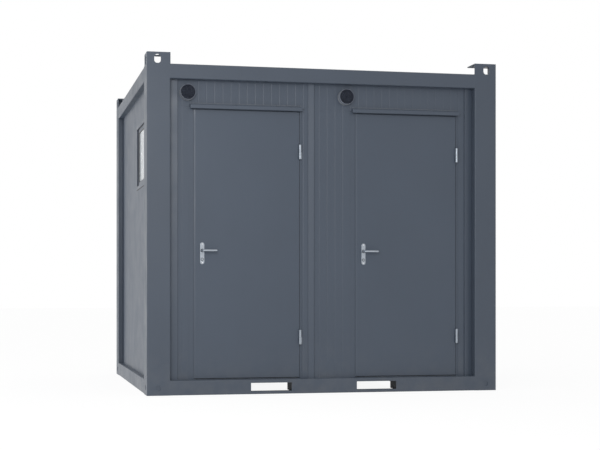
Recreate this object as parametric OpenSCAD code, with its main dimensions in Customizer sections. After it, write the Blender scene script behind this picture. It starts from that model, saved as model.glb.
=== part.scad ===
// Toilet container with two cabins: steel frame, fork pockets, sandwich walls and outward opening doors.
// Millimetres, +Z up, doors towards -Y, origin at the middle of the footprint at ground level.

/* [Overall size] */
// Width over the corner posts
unit_w = 2990; // [2850:10:3600]
// Depth over the corner posts
unit_d = 2435; // [2300:5:3000]
// Height from the ground to the top of the lifting corners
unit_h = 2770; // [2750:5:2900]

/* [Frame] */
// Width of each corner post's faces
post_w = 192; // [170:1:210]
// Steel thickness of posts and rails
frame_t = 4; // [3:0.5:6]
// Inside radius of the folded bends
bend_r = 4; // [2:0.5:8]
// Distance from the frame's front and back faces to the wall panels
wall_set = 66; // [50:1:80]
// Distance from the frame's sides to the side walls
side_set = 50; // [40:1:66]
// Return lip on the inner edge of each post
post_lip = 40; // [20:1:60]
// Height of the base rails
base_rail_h = 120; // [114:1:160]
// Height of the roof rails
top_rail_h = 118; // [110:1:150]
// Lip on the inner edges of the rails
rail_lip = 13; // [8:1:16]
// Width of the roof rail's upper flange
gutter_w = 58; // [40:1:80]

/* [Fork pockets] */
// Clear width of a fork pocket
pocket_w = 343; // [250:1:380]
// Clear height of a fork pocket
pocket_h = 67; // [60:1:70]
// Height of the pockets' sill in the base rails above the ground
pocket_z = 25; // [24:1:27]
// Plate thickness of the pocket channels, which are open below
pocket_t = 4; // [3:0.5:4]
// Length of a pocket channel from the rail's outer face
pocket_l = 150; // [130:5:250]
// Distance between the two pockets, centre to centre
pocket_pitch = 900; // [800:10:1000]
// Distance of the middle between the pockets from the middle of the unit
pocket_off = -16; // [-40:2:40]

/* [Corner boxes] */
// Plate thickness of the corner boxes
box_t = 8; // [6:1:10]
// Height of the lifting corners above the roof rails
lug_rise = 91; // [85:1:110]
// Depth of the lifting corners above the roof rails
lug_d = 155; // [150:1:170]
// Width of the lifting slots
slot_w = 54; // [45:1:60]
// Height of the lifting slots
slot_h = 74; // [65:1:76]
// Distance from the corner to the middle of a lifting slot
slot_in = 87; // [75:1:95]
// Width of the oval recesses in the bottom corners
oval_w = 36; // [25:1:45]
// Height of the oval recesses
oval_h = 46; // [30:1:55]
// Depth of the oval recesses
oval_deep = 5; // [2:0.5:5]
// Distance from the corner to the middle of a recess
oval_in = 94; // [80:1:110]
// Height of the middle of a recess above the ground
oval_z = 59; // [45:1:75]

/* [Walls, floor and roof] */
// Thickness of the wall panels
wall_t = 60; // [50:1:75]
// Distance between the panels' upright lines
line_pitch = 68; // [40:1:120]
// Width of a line pressed into the panels
line_w = 9; // [4:1:14]
// Depth of a pressed line
line_d = 1.3; // [0.8:0.1:2]
// Thickness of the wall between the cabins
partition_t = 60; // [40:1:80]
// Height of the finished floor above the base rails
floor_rise = 6; // [2:0.5:7]
// Thickness of the floor board with its vinyl
deck_t = 22; // [18:0.5:26]
// Thickness of the sheet under the floor
under_t = 1.5; // [1:0.5:3]
// Distance from the middle of a pocket to the joists beside it
joist_off = 330; // [300:5:360]
// Height of a floor joist
joist_h = 60; // [50:1:70]
// Width of a floor joist
joist_w = 40; // [30:1:50]
// Steel thickness of the joists
joist_t = 3; // [2:0.5:4]
// Thickness of the insulated ceiling
ceiling_t = 70; // [50:1:74]
// Thickness of the roof sheet
roof_t = 3; // [2:0.5:3]
// Height of the roof's standing seams
seam_h = 22; // [15:1:24]
// Distance between the standing seams
seam_pitch = 480; // [300:10:600]
// Width of the cover strips beside the posts
edge_strip_w = 68; // [40:1:80]
// Width of the cover strip between the doors
mid_strip_w = 50; // [40:1:60]
// Thickness of a cover strip at its thick side
strip_t = 13; // [8:1:16]
// Thickness of a cover strip at its thin side
strip_thin = 4; // [2:1:7]

/* [Doors] */
// Distance from the roof rail down to the leaves
door_down = 238; // [200:1:300]
// Distance between the two leaves
between_doors = 483; // [440:1:520]
// Thickness of a door leaf
leaf_t = 40; // [36:1:45]
// Distance that the leaf stands in front of the wall
leaf_proud = 4; // [2:0.5:6]
// Gap round the leaf
leaf_gap = 4; // [3:0.5:5]
// Distance from the base rail up to the leaf
sill_gap = 11; // [7:0.5:12]
// Width of the lip on the leaf's lock edge
lip_w = 16; // [15:1:20]
// Thickness of that lip
lip_t = 5; // [4:0.5:6]
// Distance from the left post to the left leaf
door_left_in = 202; // [180:1:240]
// Distance from the right post to the right leaf
door_right_in = 145; // [100:1:180]
// Distance from the left door's frame to the middle of the partition
divider_in = 77; // [60:1:90]
// Visible width of the door frame beside the lock edge
jamb_lock = 48; // [46:1:60]
// Visible width of the door frame beside the hinges
jamb_hinge = 22; // [21:1:35]
// Visible height of the door frame over the leaf
jamb_head = 24; // [18:1:30]
// Distance that the frame's face lies behind the wall face
jamb_set = 3; // [2.5:0.5:5]
// Overlap of the door stop behind the leaf
stop_w = 15; // [10:1:20]
// Thickness of the threshold plate
threshold_t = 4; // [3:0.5:6]

/* [Hinges] */
// Radius of a hinge barrel
barrel_r = 12; // [10:0.5:12]
// Height of a whole hinge
hinge_h = 118; // [100:1:140]
// Distance from the leaf's top or bottom to the middle of a hinge
hinge_in = 330; // [250:5:400]
// Radius of a hinge pin
hinge_pin_r = 6; // [5:0.5:7]
// Radial clearance of pins, spindles and buttons
fit_gap = 0.06; // [0.02:0.01:0.1]

/* [Lock and lever] */
// Height of the lever's axis above the ground
lever_z = 1174; // [1000:1:1250]
// Distance from the leaf's lock edge to the lever's axis
backset = 68; // [60:1:75]
// Width of a backplate
plate_w = 35; // [30:1:40]
// Length of a backplate
plate_l = 177; // [160:1:200]
// Thickness of a backplate
plate_t = 6; // [4:0.5:8]
// Distance of the lever's axis above the plate's middle
lever_up = 23; // [15:1:30]
// Length of the lever from its axis to its tip
lever_l = 119; // [100:1:130]
// Radius of the lever's grip
grip_r = 8.5; // [7:0.5:9]
// Distance from the leaf to the middle of the grip
lever_out = 50; // [42:1:60]
// Radius of the lever's neck
neck_r = 9; // [8:0.5:11]
// Radius of the spindle
spindle_r = 5; // [4:0.5:6]
// Distance from the lever's axis down to the lock cylinder
cylinder_down = 72; // [65:1:75]
// Radius of the lock cylinder's plug
plug_r = 8; // [7:0.5:8]
// Travel of the latch
latch_throw = 11; // [8:0.5:11]
// Travel of the dead bolt
bolt_throw = 20; // [12:1:22]

/* [Rain ledges and fans] */
// Distance that a ledge reaches past the leaf's lock edge
ledge_left = 33; // [15:1:45]
// Distance that a ledge reaches past the leaf's hinge edge
ledge_right = 20; // [10:1:45]
// Gap between the leaf's top and the ledge's lip
ledge_up = 7; // [5:1:12]
// Height of the ledge's front lip
ledge_lip = 30; // [20:1:32]
// Distance that the ledge stands out of the wall
ledge_out = 34; // [25:1:45]
// Sheet thickness of the ledge
ledge_t = 1.6; // [1:0.1:2.5]
// Inner radius of the fan duct
duct_r = 58.5; // [52:0.5:60]
// Wall of the fan duct
duct_t = 3; // [2:0.5:4]
// Width of the rolled edge round the duct's mouth
duct_roll = 1.5; // [1:0.5:3]
// Distance that the duct stands out of the wall
duct_out = 50; // [30:1:58]
// Distance of the left fan from its leaf's lock edge
fan_left_in = 55; // [40:1:80]
// Distance of the right fan from its leaf's lock edge
fan_right_in = 88; // [40:1:100]
// Distance from the roof rail down to a fan's middle
fan_down = 102; // [85:1:110]
// Blades on a fan rotor
blade_count = 7; // [5:1:9]

/* [Windows] */
// Width of a window
window_w = 600; // [500:5:700]
// Height of a window
window_h = 566; // [450:2:650]
// Distance from the front face to the window's near edge
window_in = 485; // [400:5:700]
// Distance from the roof rail down to the window's middle
window_down = 532; // [450:1:760]
// Visible width of the window frame
window_face = 28; // [26:1:45]
// Width of the sash bars
sash_w = 40; // [35:1:60]
// Thickness of the sash
sash_t = 38; // [30:1:42]
// Distance from the wall's face in to the sash
sash_deep = 9; // [6:1:20]
// Thickness of the glazing unit
glazing_t = 24; // [14:1:26]
// Distance from the sash's face in to the glass
glass_deep = 4; // [3:0.5:6]

/* [Cabins] */
// Height of the toilet's rim above the floor
rim_h = 400; // [380:5:460]
// Distance from the back wall to the toilet's front edge
bowl_l = 660; // [620:5:700]
// Width of the toilet's rim
bowl_w = 360; // [340:2:380]
// Width of the cistern
cistern_w = 380; // [340:5:420]
// Height of the cistern
cistern_h = 360; // [300:5:400]
// Height of the basin's rim above the floor
basin_h = 850; // [780:5:900]
// Width of the basin
basin_w = 440; // [380:5:500]
// Depth of the basin from the wall
basin_d = 330; // [280:5:380]
// Distance from the front wall to the middle of the basin
basin_in = 820; // [700:10:1200]
// Width of the mirror
mirror_w = 400; // [300:10:500]
// Height of the mirror
mirror_h = 500; // [400:10:600]
// Height of the mirror's lower edge above the basin
mirror_up = 300; // [200:10:400]
// Radius of the ceiling light
light_r = 140; // [110:5:170]
// Height of the ceiling light
light_h = 56; // [40:1:80]
// Height of the paper holder above the floor
holder_h = 750; // [600:10:900]
// Length of the paper holder's bar
holder_l = 125; // [110:1:150]
// Distance of that bar from the wall
holder_out = 70; // [60:1:90]
// Outer radius of the waste outlet
waste_r = 55; // [45:1:56]
// Outer radius of the water inlet
water_r = 13.2; // [10:0.1:17]
// Distance that both stand out of the back wall
stub_l = 50; // [35:1:60]

/* [Hidden] */
$fn = 48;
eps = 1;

// Frame and room planes
half_w = unit_w / 2;
half_d = unit_d / 2;
rail_d = wall_set + wall_t;
wall_x = half_w - side_set;
wall_y = half_d - wall_set;
room_x = half_w - rail_d;
room_y = half_d - rail_d;
rail_top = unit_h - lug_rise;
rail_low = rail_top - top_rail_h;
floor_z = base_rail_h + floor_rise;
ceiling_z = rail_low + frame_t;
roof_z = ceiling_z + ceiling_t;
front = -wall_y;

// Doors
leaf_w = (unit_w - 2 * post_w - door_left_in - door_right_in - between_doors) / 2;
leaf_z = base_rail_h + sill_gap;
leaf_top = rail_low - door_down;
leaf_h = leaf_top - leaf_z;
leaf_front = front - leaf_proud;
leaf_back = leaf_front + leaf_t;
jamb_top = leaf_top + jamb_head;
jamb_front = front + jamb_set;
opening_w = leaf_w - lip_w + 2 * leaf_gap;
door_left_x = -half_w + post_w + door_left_in;
door_right_x = half_w - post_w - door_right_in - leaf_w;
door_x = [door_left_x, door_right_x];
divider_x = door_left_x + leaf_w + jamb_hinge + divider_in;
hinge_x = leaf_w + leaf_gap / 2;
hinge_y = leaf_front - barrel_r - 0.5;
hinge_low_z = leaf_z + hinge_in;
hinge_high_z = leaf_top - hinge_in;
hinge_half = hinge_h / 2;
arm_t = 9;

// Lock
plate_z = lever_z - lever_up;
turn_z = lever_z - cylinder_down;
case_h = 165;
case_w = 84;
case_t = 15;
case_z = lever_z - 115;
forend_h = 235;
forend_w = 20;
forend_t = 3;
lock_y = leaf_front + leaf_t / 2;
latch_size = [37, 12, 17];
bolt_size = [40, 12, 22];
bolt_gap = 0.3;
knob_r = 14;
handle_in = 32;
knob_l = 20;

// Fans and ledges
fan_x = [door_left_x - fan_left_in, door_right_x - fan_right_in];
fan_z = rail_low - fan_down;
duct_end = front - duct_out;
ledge_z = leaf_top + ledge_up;
duct_gap = 0.3;
slat_pitch = 9;
slat_w = 11;
slat_tilt = 40;
motor_r = 20;
motor_l = 22;
shaft_r = 4;
rotor_y = front + 16;
motor_y = front + 34;

// Windows
window_y = -half_d + window_in + window_w / 2;
window_z = rail_low - window_down;
sash_gap = 3;
sash_seat = 20;
sash_x = wall_x - sash_deep;
sash_size = [window_w - 2 * (sash_seat + sash_gap), window_h - 2 * (sash_seat + sash_gap)];
window_proud = 4;
tilt_x = -sash_x + sash_t;
tilt_z = window_z - sash_size[1] / 2;

// Cabins
cabin_x = [(-room_x + divider_x - partition_t / 2) / 2, (room_x + divider_x + partition_t / 2) / 2];
rim_z = floor_z + rim_h;
bowl_mid = 400;
bowl_back = 15;
cistern_back = 12;
cistern_d = 155;
cistern_mid = cistern_back + cistern_d / 2;
cistern_top = rim_z + cistern_h;
cistern_lid_t = 28;
seat_axis_v = 225;
seat_axis_z = rim_z + 20;
seat_z = rim_z + 6;
seat_t = 16;
lid_t = 16;
seat_pin_r = 5;
seat_back = 248;
button_r = 19;
button_deep = 12;
basin_z = floor_z + basin_h;
basin_y = -room_y + basin_in;
basin_drop = 150;
basin_mid = 90;
tap_r = 22;
tap_v = 44;
tap_h = 78;
tap_pin_r = 6;
waste_rise = 185;
waste_z = floor_z + waste_rise;
mouth_back = 140;
well_r = 55;
well_deep = 185;
throat_r = 36;
throat_drop = 40;
spigot_v = 38;
water_u = cistern_w / 2 + 35;
water_v = 70;
water_z = cistern_top - 80;
sleeve_t = 2;
groove_w = 2;
pipe_t = 3.5;
trap_neck = 55;
trap_l = 150;
bend_steps = 5;
steel = [0.34, 0.37, 0.42];
panel = [0.35, 0.38, 0.42];
zinc = [0.62, 0.64, 0.65];
stainless = [0.76, 0.78, 0.80];
ceramic = [0.94, 0.94, 0.92];
white = [0.90, 0.90, 0.89];

// Directions and folded outlines
function unit(v) = v / norm(v);
function left_of(v) = [-v[1], v[0]];
function turned(v, a) = [v[0] * cos(a) - v[1] * sin(a), v[0] * sin(a) + v[1] * cos(a)];
function backwards(p) = [for (i = [len(p) - 1 : -1 : 0]) p[i]];

// Points of one face of a bend at b, between a and c, on the left (side 1) or the right (side -1)
function bend_points(a, b, c, t, r, side) =
    let (
        d = unit(b - a),
        e = unit(c - b),
        way = d[0] * e[1] - d[1] * e[0] > 0 ? 1 : -1,
        angle = acos(d * e),
        mid_r = r + t / 2,
        middle = b - d * mid_r * tan(angle / 2) + left_of(d) * way * mid_r,
        face_r = mid_r - way * side * t / 2
    )
    [for (i = [0 : bend_steps]) middle + turned(-left_of(d) * way, way * angle * i / bend_steps) * face_r];

// One face of a folded sheet whose middle line is p
function sheet_face(p, t, r, side) =
    let (last = len(p) - 1)
    concat(
        [p[0] + left_of(unit(p[1] - p[0])) * side * t / 2],
        [for (i = [1 : last - 1]) each bend_points(p[i - 1], p[i], p[i + 1], t, r, side)],
        [p[last] + left_of(unit(p[last] - p[last - 1])) * side * t / 2]
    );

module folded(p, t, r) {
    polygon(concat(sheet_face(p, t, r, 1), backwards(sheet_face(p, t, r, -1))));
}

// Profile x becomes Y and profile y becomes Z
module along_x(l) {
    rotate([90, 0, 90]) linear_extrude(height = l, center = true) children();
}

// Profile x becomes X and profile y becomes Z
module along_y(l) {
    rotate([90, 0, 0]) linear_extrude(height = l, center = true) children();
}

// A block between two corners
module block(a, b) {
    translate(a) cube(b - a);
}

module rod_x(x0, x1, y, z, r) {
    translate([x0, y, z]) rotate([0, 90, 0]) cylinder(h = x1 - x0, r = r);
}

module rod_y(x, y0, y1, z, r) {
    translate([x, y1, z]) rotate([90, 0, 0]) cylinder(h = y1 - y0, r = r);
}

module rod_z(x, y, z0, z1, r) {
    translate([x, y, z0]) cylinder(h = z1 - z0, r = r);
}

// Upright slot with round ends, w wide and h high over all
module slot_shape(w, h) {
    square([w, h - w], center = true);
    for (s = [-1, 1]) translate([0, s * (h - w) / 2]) circle(d = w);
}

module round_rect(w, h, r) {
    square([w - 2 * r, h], center = true);
    square([w, h - 2 * r], center = true);
    for (x = [-1, 1], y = [-1, 1]) translate([x * (w / 2 - r), y * (h / 2 - r)]) circle(r = r);
}

// Children drawn at the front left corner, with x and y inwards, and mirrored to the other three
module at_corners() {
    for (mx = [0, 1], my = [0, 1])
        mirror([mx, 0, 0]) mirror([0, my, 0]) translate([-half_w, -half_d, 0]) children();
}

// Children drawn for the left side wall and mirrored to the right one
module at_side(side) {
    mirror([side == 1 ? 1 : 0, 0, 0]) children();
}

// Outline of a bowl, seat or basin: round in front, squarer behind where q is under 1
function egg(half, ahead, behind, middle, q, n = 36) =
    [for (i = [0 : n - 1])
        let (a = 360 * i / n, c = cos(a), s = sin(a), e = s < 0 ? q : 1)
        [half * sign(c) * pow(abs(c), e), middle + (s > 0 ? ahead : behind) * sign(s) * pow(abs(s), e)]];

// Closed skin through a list of [outline, height] rings
module loft(rings) {
    n = len(rings[0][0]);
    m = len(rings);
    points = [for (r = rings) each [for (p = r[0]) [p[0], p[1], r[1]]]];
    sides = [for (k = [0 : m - 2], i = [0 : n - 1])
        let (j = (i + 1) % n)
        each [[k * n + i, (k + 1) * n + i, (k + 1) * n + j], [k * n + i, (k + 1) * n + j, k * n + j]]];
    low = [for (i = [1 : n - 2]) [0, i, i + 1]];
    high = [for (i = [1 : n - 2]) [(m - 1) * n, (m - 1) * n + i + 1, (m - 1) * n + i]];
    polyhedron(points, concat(sides, low, high));
}

// Base

module rail_section(h) {
    folded([
        [rail_d - frame_t / 2, rail_lip + frame_t],
        [rail_d - frame_t / 2, frame_t / 2],
        [frame_t / 2, frame_t / 2],
        [frame_t / 2, h - frame_t / 2],
        [rail_d - frame_t / 2, h - frame_t / 2],
        [rail_d - frame_t / 2, h - rail_lip - frame_t]
    ], frame_t, bend_r);
}

module at_pockets() {
    for (s = [-1, 1]) translate([pocket_off + s * pocket_pitch / 2, 0, 0]) children();
}

module bottom_rails() {
    color(steel) {
        for (a = [0, 180]) rotate(a) difference() {
            translate([0, -half_d, 0]) along_x(unit_w - 2 * post_w) rail_section(base_rail_h);
            rotate(-a) at_pockets() rotate(a) block(
                [-pocket_w / 2, -half_d - eps, pocket_z],
                [pocket_w / 2, -half_d + frame_t + eps, pocket_z + pocket_h]
            );
        }
        for (a = [90, 270]) rotate(a) translate([0, -half_w, 0])
            along_x(unit_d - 2 * post_w) rail_section(base_rail_h);
    }
}

// Channels of the fork pockets, open below, and the plates over the forks between the joists
module fork_pockets() {
    top = pocket_z + pocket_h;
    low = pocket_z - pocket_t;
    plate_w = joist_off - joist_w / 2;
    deck_low = floor_z - deck_t;
    color(steel) at_pockets() {
        for (a = [0, 180]) rotate(a) translate([0, (frame_t + pocket_l) / 2 - half_d, 0])
            along_y(pocket_l - frame_t) difference() {
                translate([-pocket_w / 2 - pocket_t, low])
                    square([pocket_w + 2 * pocket_t, top + pocket_t - low]);
                translate([-pocket_w / 2, low - eps]) square([pocket_w, top + eps - low]);
            }
        block([-plate_w, -room_y, deck_low - pocket_t], [plate_w, room_y, deck_low]);
    }
}

joist_x = [
    -room_x + joist_w,
    pocket_off - pocket_pitch / 2 - joist_off,
    pocket_off - pocket_pitch / 2 + joist_off,
    pocket_off + pocket_pitch / 2 - joist_off,
    pocket_off + pocket_pitch / 2 + joist_off,
    room_x - joist_w
];
joist_low = floor_z - deck_t - joist_h;

module floor_joists() {
    color(zinc) for (x = joist_x) translate([x - joist_w / 2, 0, joist_low])
        along_y(2 * room_y) folded([
            [joist_w, joist_t / 2],
            [joist_t / 2, joist_t / 2],
            [joist_t / 2, joist_h - joist_t / 2],
            [joist_w, joist_h - joist_t / 2]
        ], joist_t, 2);
}

module underfloor_sheet() {
    bay = joist_off - joist_w / 2;
    color(zinc) difference() {
        block([-room_x, -room_y, joist_low - under_t], [room_x, room_y, joist_low]);
        at_pockets() block([-bay, -room_y - eps, 0], [bay, room_y + eps, joist_low + eps]);
    }
}

module floor_deck() {
    color([0.45, 0.47, 0.48]) block([-room_x, -room_y, floor_z - deck_t], [room_x, room_y, floor_z]);
}

// Corners

// Footprint of a corner box: arms of the given depths with a rounded outer corner
module corner_shape(w, d, arm) {
    difference() {
        union() {
            square([w, arm]);
            square([arm, d]);
        }
        difference() {
            square(bend_r + frame_t);
            translate([bend_r + frame_t, bend_r + frame_t]) circle(r = bend_r + frame_t);
        }
    }
}

// Oval recess seen from the front, on the face at y = 0
module oval_recess() {
    translate([oval_in, oval_deep, oval_z]) rotate([90, 0, 0])
        linear_extrude(height = oval_deep + eps) slot_shape(oval_w, oval_h);
}

module bottom_corners() {
    color(steel) at_corners() difference() {
        union() {
            linear_extrude(height = base_rail_h) intersection() {
                corner_shape(post_w, post_w, rail_d);
                union() {
                    square([post_w, box_t]);
                    square([box_t, post_w]);
                }
            }
            for (z = [0, base_rail_h - box_t]) translate([0, 0, z])
                linear_extrude(height = box_t) corner_shape(post_w, post_w, rail_d);
        }
        oval_recess();
        mirror([1, -1, 0]) oval_recess();
    }
}

module corner_posts() {
    t = frame_t / 2;
    color(steel) at_corners() translate([0, 0, base_rail_h]) linear_extrude(height = rail_low - base_rail_h)
        folded([
            [post_w - post_lip, wall_set - t],
            [post_w - t, wall_set - t],
            [post_w - t, t],
            [t, t],
            [t, post_w - t],
            [side_set - t, post_w - t],
            [side_set - t, post_w - post_lip]
        ], frame_t, bend_r);
}

// Lifting slot through the plate at y = 0
module lifting_slot() {
    translate([slot_in, box_t + eps, rail_top + slot_h / 2]) rotate([90, 0, 0])
        linear_extrude(height = box_t + 2 * eps) slot_shape(slot_w, slot_h);
}

module top_corners() {
    color(steel) at_corners() difference() {
        union() {
            translate([0, 0, rail_low]) linear_extrude(height = top_rail_h) intersection() {
                corner_shape(post_w, post_w, rail_d);
                union() {
                    square([post_w, box_t]);
                    square([box_t, post_w]);
                }
            }
            translate([0, 0, rail_top]) linear_extrude(height = lug_rise) intersection() {
                corner_shape(post_w, lug_d, rail_d);
                union() {
                    square([post_w, box_t]);
                    square([box_t, lug_d]);
                }
            }
            translate([0, 0, rail_low]) linear_extrude(height = frame_t)
                corner_shape(post_w, post_w, wall_set);
            translate([0, 0, unit_h - box_t]) linear_extrude(height = box_t) intersection() {
                square([post_w, lug_d]);
                corner_shape(post_w, lug_d, lug_d);
            }
        }
        lifting_slot();
        mirror([1, -1, 0]) lifting_slot();
        translate([slot_in, lug_d / 2, unit_h - box_t - eps]) linear_extrude(height = box_t + 2 * eps)
            slot_shape(slot_w, slot_h + slot_w / 2);
    }
}

// Roof

module top_rails() {
    color(steel) for (a = [0 : 90 : 270]) rotate(a) {
        along = a % 180 == 0;
        translate([0, -(along ? half_d : half_w), rail_low])
            along_x((along ? unit_w : unit_d) - 2 * post_w) folded([
                [rail_d, frame_t / 2],
                [frame_t / 2, frame_t / 2],
                [frame_t / 2, top_rail_h - frame_t / 2],
                [gutter_w, top_rail_h - frame_t / 2],
                [gutter_w, top_rail_h - rail_lip - frame_t]
            ], frame_t, bend_r);
    }
}

module roof_sheet() {
    edge = box_t + 2;
    seams = floor((half_w - gutter_w - 2 * seam_h) / seam_pitch);
    color(zinc) {
        block([-half_w + edge, -half_d + edge, roof_z], [half_w - edge, half_d - edge, roof_z + roof_t]);
        for (i = [-seams : seams]) translate([i * seam_pitch, 0, roof_z])
            along_y(2 * (half_d - gutter_w - seam_h)) polygon([
                [-5, 0], [-5, roof_t + 4], [-3, roof_t + seam_h],
                [3, roof_t + seam_h], [5, roof_t + 4], [5, 0]
            ]);
    }
}

module ceiling_panel() {
    edge = box_t + 4;
    color(white)
        block([-half_w + edge, -half_d + edge, ceiling_z], [half_w - edge, half_d - edge, roof_z]);
}

// Walls

joint_gap = 0.4;

// Points of the pressed lines between x0 and x1, on multiples of the pitch from x = 0
function pressed_lines(x0, x1) = [
    for (i = [ceil((x0 + line_w) / line_pitch) : floor((x1 - line_w) / line_pitch)])
        each [[i * line_pitch - line_w / 2, 0], [i * line_pitch, line_d], [i * line_pitch + line_w / 2, 0]]
];

// Wall panel from x0 to x1 and z0 to z1 with its lined face at y = 0 and its back at y = t
module lined_panel(x0, x1, z0, z1, t = wall_t) {
    translate([0, 0, z0]) linear_extrude(height = z1 - z0)
        polygon(concat([[x0, t], [x0, 0]], pressed_lines(x0, x1), [[x1, 0], [x1, t]]));
}

module front_wall() {
    left = -room_x - divider_x;
    right = room_x - divider_x;
    frame_left = [for (x = door_x) x - jamb_lock - divider_x];
    frame_right = [for (x = door_x) x + leaf_w + jamb_hinge - divider_x];
    low_top = jamb_top - joint_gap;
    color(panel) translate([divider_x, front, 0]) {
        lined_panel(left, frame_left[0], base_rail_h, low_top);
        lined_panel(frame_right[0], frame_left[1], base_rail_h, low_top);
        lined_panel(frame_right[1], right, base_rail_h, low_top);
        difference() {
            lined_panel(left, right, jamb_top, rail_low);
            for (x = fan_x) rod_y(x - divider_x, -eps, wall_t + eps, fan_z, duct_r + duct_t + duct_gap);
        }
    }
}

module side_walls() {
    color(panel) for (side = [0, 1]) at_side(side) difference() {
        translate([-wall_x, 0, 0]) mirror([1, -1, 0])
            lined_panel(-wall_y, wall_y, base_rail_h, rail_low, wall_x - room_x);
        block(
            [-wall_x - eps, window_y - window_w / 2, window_z - window_h / 2],
            [-room_x + eps, window_y + window_w / 2, window_z + window_h / 2]
        );
    }
}

module back_wall() {
    color(panel) difference() {
        translate([0, wall_y, 0]) mirror([0, 1, 0]) lined_panel(-room_x, room_x, base_rail_h, rail_low);
        for (i = [0, 1]) {
            rod_y(cabin_x[i], room_y - eps, wall_y + eps, waste_z, waste_r + sleeve_t + duct_gap);
            rod_y(cabin_x[i] + water_u, room_y - eps, wall_y + eps, water_z, water_r + sleeve_t + duct_gap);
        }
    }
}

module partition_wall() {
    color(white)
        block(
            [divider_x - partition_t / 2, -room_y, floor_z],
            [divider_x + partition_t / 2, room_y, ceiling_z]
        );
}

// Cover strip with its thin side at x = 0, standing out of the front wall
module strip(w) {
    translate([0, front, base_rail_h]) linear_extrude(height = rail_low - base_rail_h)
        polygon([[0, 0], [0, -strip_thin], [w - 3, -strip_t], [w, -strip_t + 3], [w, 0]]);
}

module cover_strips() {
    color(steel) {
        for (side = [0, 1]) at_side(side) translate([-half_w + post_w, 0, 0]) strip(edge_strip_w);
        translate([divider_x - mid_strip_w / 2, 0, 0]) strip(mid_strip_w);
    }
}

// Doors

module door_frames() {
    body_x = lip_w - leaf_gap;
    color(steel) for (x = door_x) translate([x, 0, 0]) difference() {
        block(
            [-jamb_lock, jamb_front, base_rail_h],
            [leaf_w + jamb_hinge, front + wall_t, jamb_top]
        );
        block(
            [body_x, jamb_front - eps, base_rail_h + threshold_t],
            [body_x + opening_w, leaf_back + 2, leaf_top + leaf_gap]
        );
        block(
            [body_x + stop_w, jamb_front - eps, base_rail_h + threshold_t],
            [body_x + opening_w - stop_w, front + wall_t + eps, leaf_top + leaf_gap - stop_w]
        );
        block(
            [body_x - latch_throw + 2, jamb_front - eps, lever_z - latch_size[2] / 2 - 2],
            [body_x + eps, lock_y + latch_size[1] / 2 + 2, lever_z + latch_size[2] / 2 + 2]
        );
        block(
            [body_x - bolt_throw, lock_y - bolt_size[1] / 2 - 2, turn_z - bolt_size[2] / 2 - 2],
            [body_x + eps, lock_y + bolt_size[1] / 2 + 2, turn_z + bolt_size[2] / 2 + 2]
        );
    }
}

// Upright cut in plan: lip on the lock edge with a bevelled face, rounded front corner on the hinge edge
module leaf_outline() {
    r = 6;
    polygon(concat(
        [[0, lip_t], [0, 2.5], [12, 0]],
        [for (a = [0 : 90 / bend_steps : 90]) [leaf_w - r, r] + r * [sin(a), -cos(a)]],
        [[leaf_w, leaf_t], [lip_w, leaf_t], [lip_w, lip_t]]
    ));
}

module door_leaf(i) {
    color(panel) difference() {
        translate([door_x[i], leaf_front, leaf_z]) linear_extrude(height = leaf_h) leaf_outline();
        translate([door_x[i], 0, 0]) {
            block(
                [lip_w - eps, lock_y - forend_w / 2, case_z + case_h / 2 - forend_h / 2],
                [lip_w + forend_t, lock_y + forend_w / 2, case_z + case_h / 2 + forend_h / 2]
            );
            block(
                [lip_w, lock_y - case_t / 2, case_z],
                [lip_w + forend_t + case_w, lock_y + case_t / 2, case_z + case_h]
            );
            rod_y(backset, leaf_front - eps, leaf_back + eps, lever_z, neck_r + 1);
            rod_y(backset, leaf_front - eps, leaf_back + eps, turn_z, plug_r + 1);
        }
    }
}

module door_leaf_left() { door_leaf(0); }
module door_leaf_right() { door_leaf(1); }

// Barrels of both hinges, drawn from the pin's axis with z = 0 at the split
module at_hinges(i) {
    for (z = [hinge_low_z, hinge_high_z]) translate([door_x[i] + hinge_x, hinge_y, z]) children();
}

module hinge_pins() {
    gap = leaf_gap / 2;
    color(stainless) for (i = [0, 1]) at_hinges(i) {
        difference() {
            rod_z(0, 0, -hinge_half, -0.4, barrel_r);
            rotate_extrude() polygon([
                [barrel_r - 2, -hinge_half - eps],
                [barrel_r + 1, -hinge_half - eps],
                [barrel_r + 1, -hinge_half + 2]
            ]);
        }
        rod_z(0, 0, -1, hinge_half - 10, hinge_pin_r);
        block([gap + 1, 0, -hinge_half + 2], [gap + arm_t, jamb_front - hinge_y, -2]);
        block(
            [gap + 1, jamb_front - hinge_y - 3, -hinge_half + 2],
            [gap + jamb_hinge - leaf_gap, jamb_front - hinge_y, -2]
        );
    }
}

module hinge_arms(i) {
    color(stainless) at_hinges(i) difference() {
        union() {
            rod_z(0, 0, 0, hinge_half, barrel_r);
            block([-barrel_r + 1, 0, 2], [-leaf_gap / 2 - 6.5, leaf_front - hinge_y, hinge_half - 2]);
        }
        rod_z(0, 0, -eps, hinge_half - 8, hinge_pin_r + fit_gap);
    }
}

module hinge_arms_left() { hinge_arms(0); }
module hinge_arms_right() { hinge_arms(1); }

// Backplate with its face away from the leaf, y0 being the leaf's face and out the way it faces
module backplate(y0, out) {
    difference() {
        translate([backset, y0, plate_z]) rotate([out * 90, 0, 0]) {
            linear_extrude(height = plate_t - 1.5) slot_shape(plate_w, plate_l);
            linear_extrude(height = plate_t) slot_shape(plate_w - 4, plate_l - 4);
        }
        rod_y(backset, y0 - plate_t - eps, y0 + plate_t + eps, lever_z, neck_r + fit_gap);
        rod_y(backset, y0 - plate_t - eps, y0 + plate_t + eps, turn_z, plug_r + fit_gap);
    }
}

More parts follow.
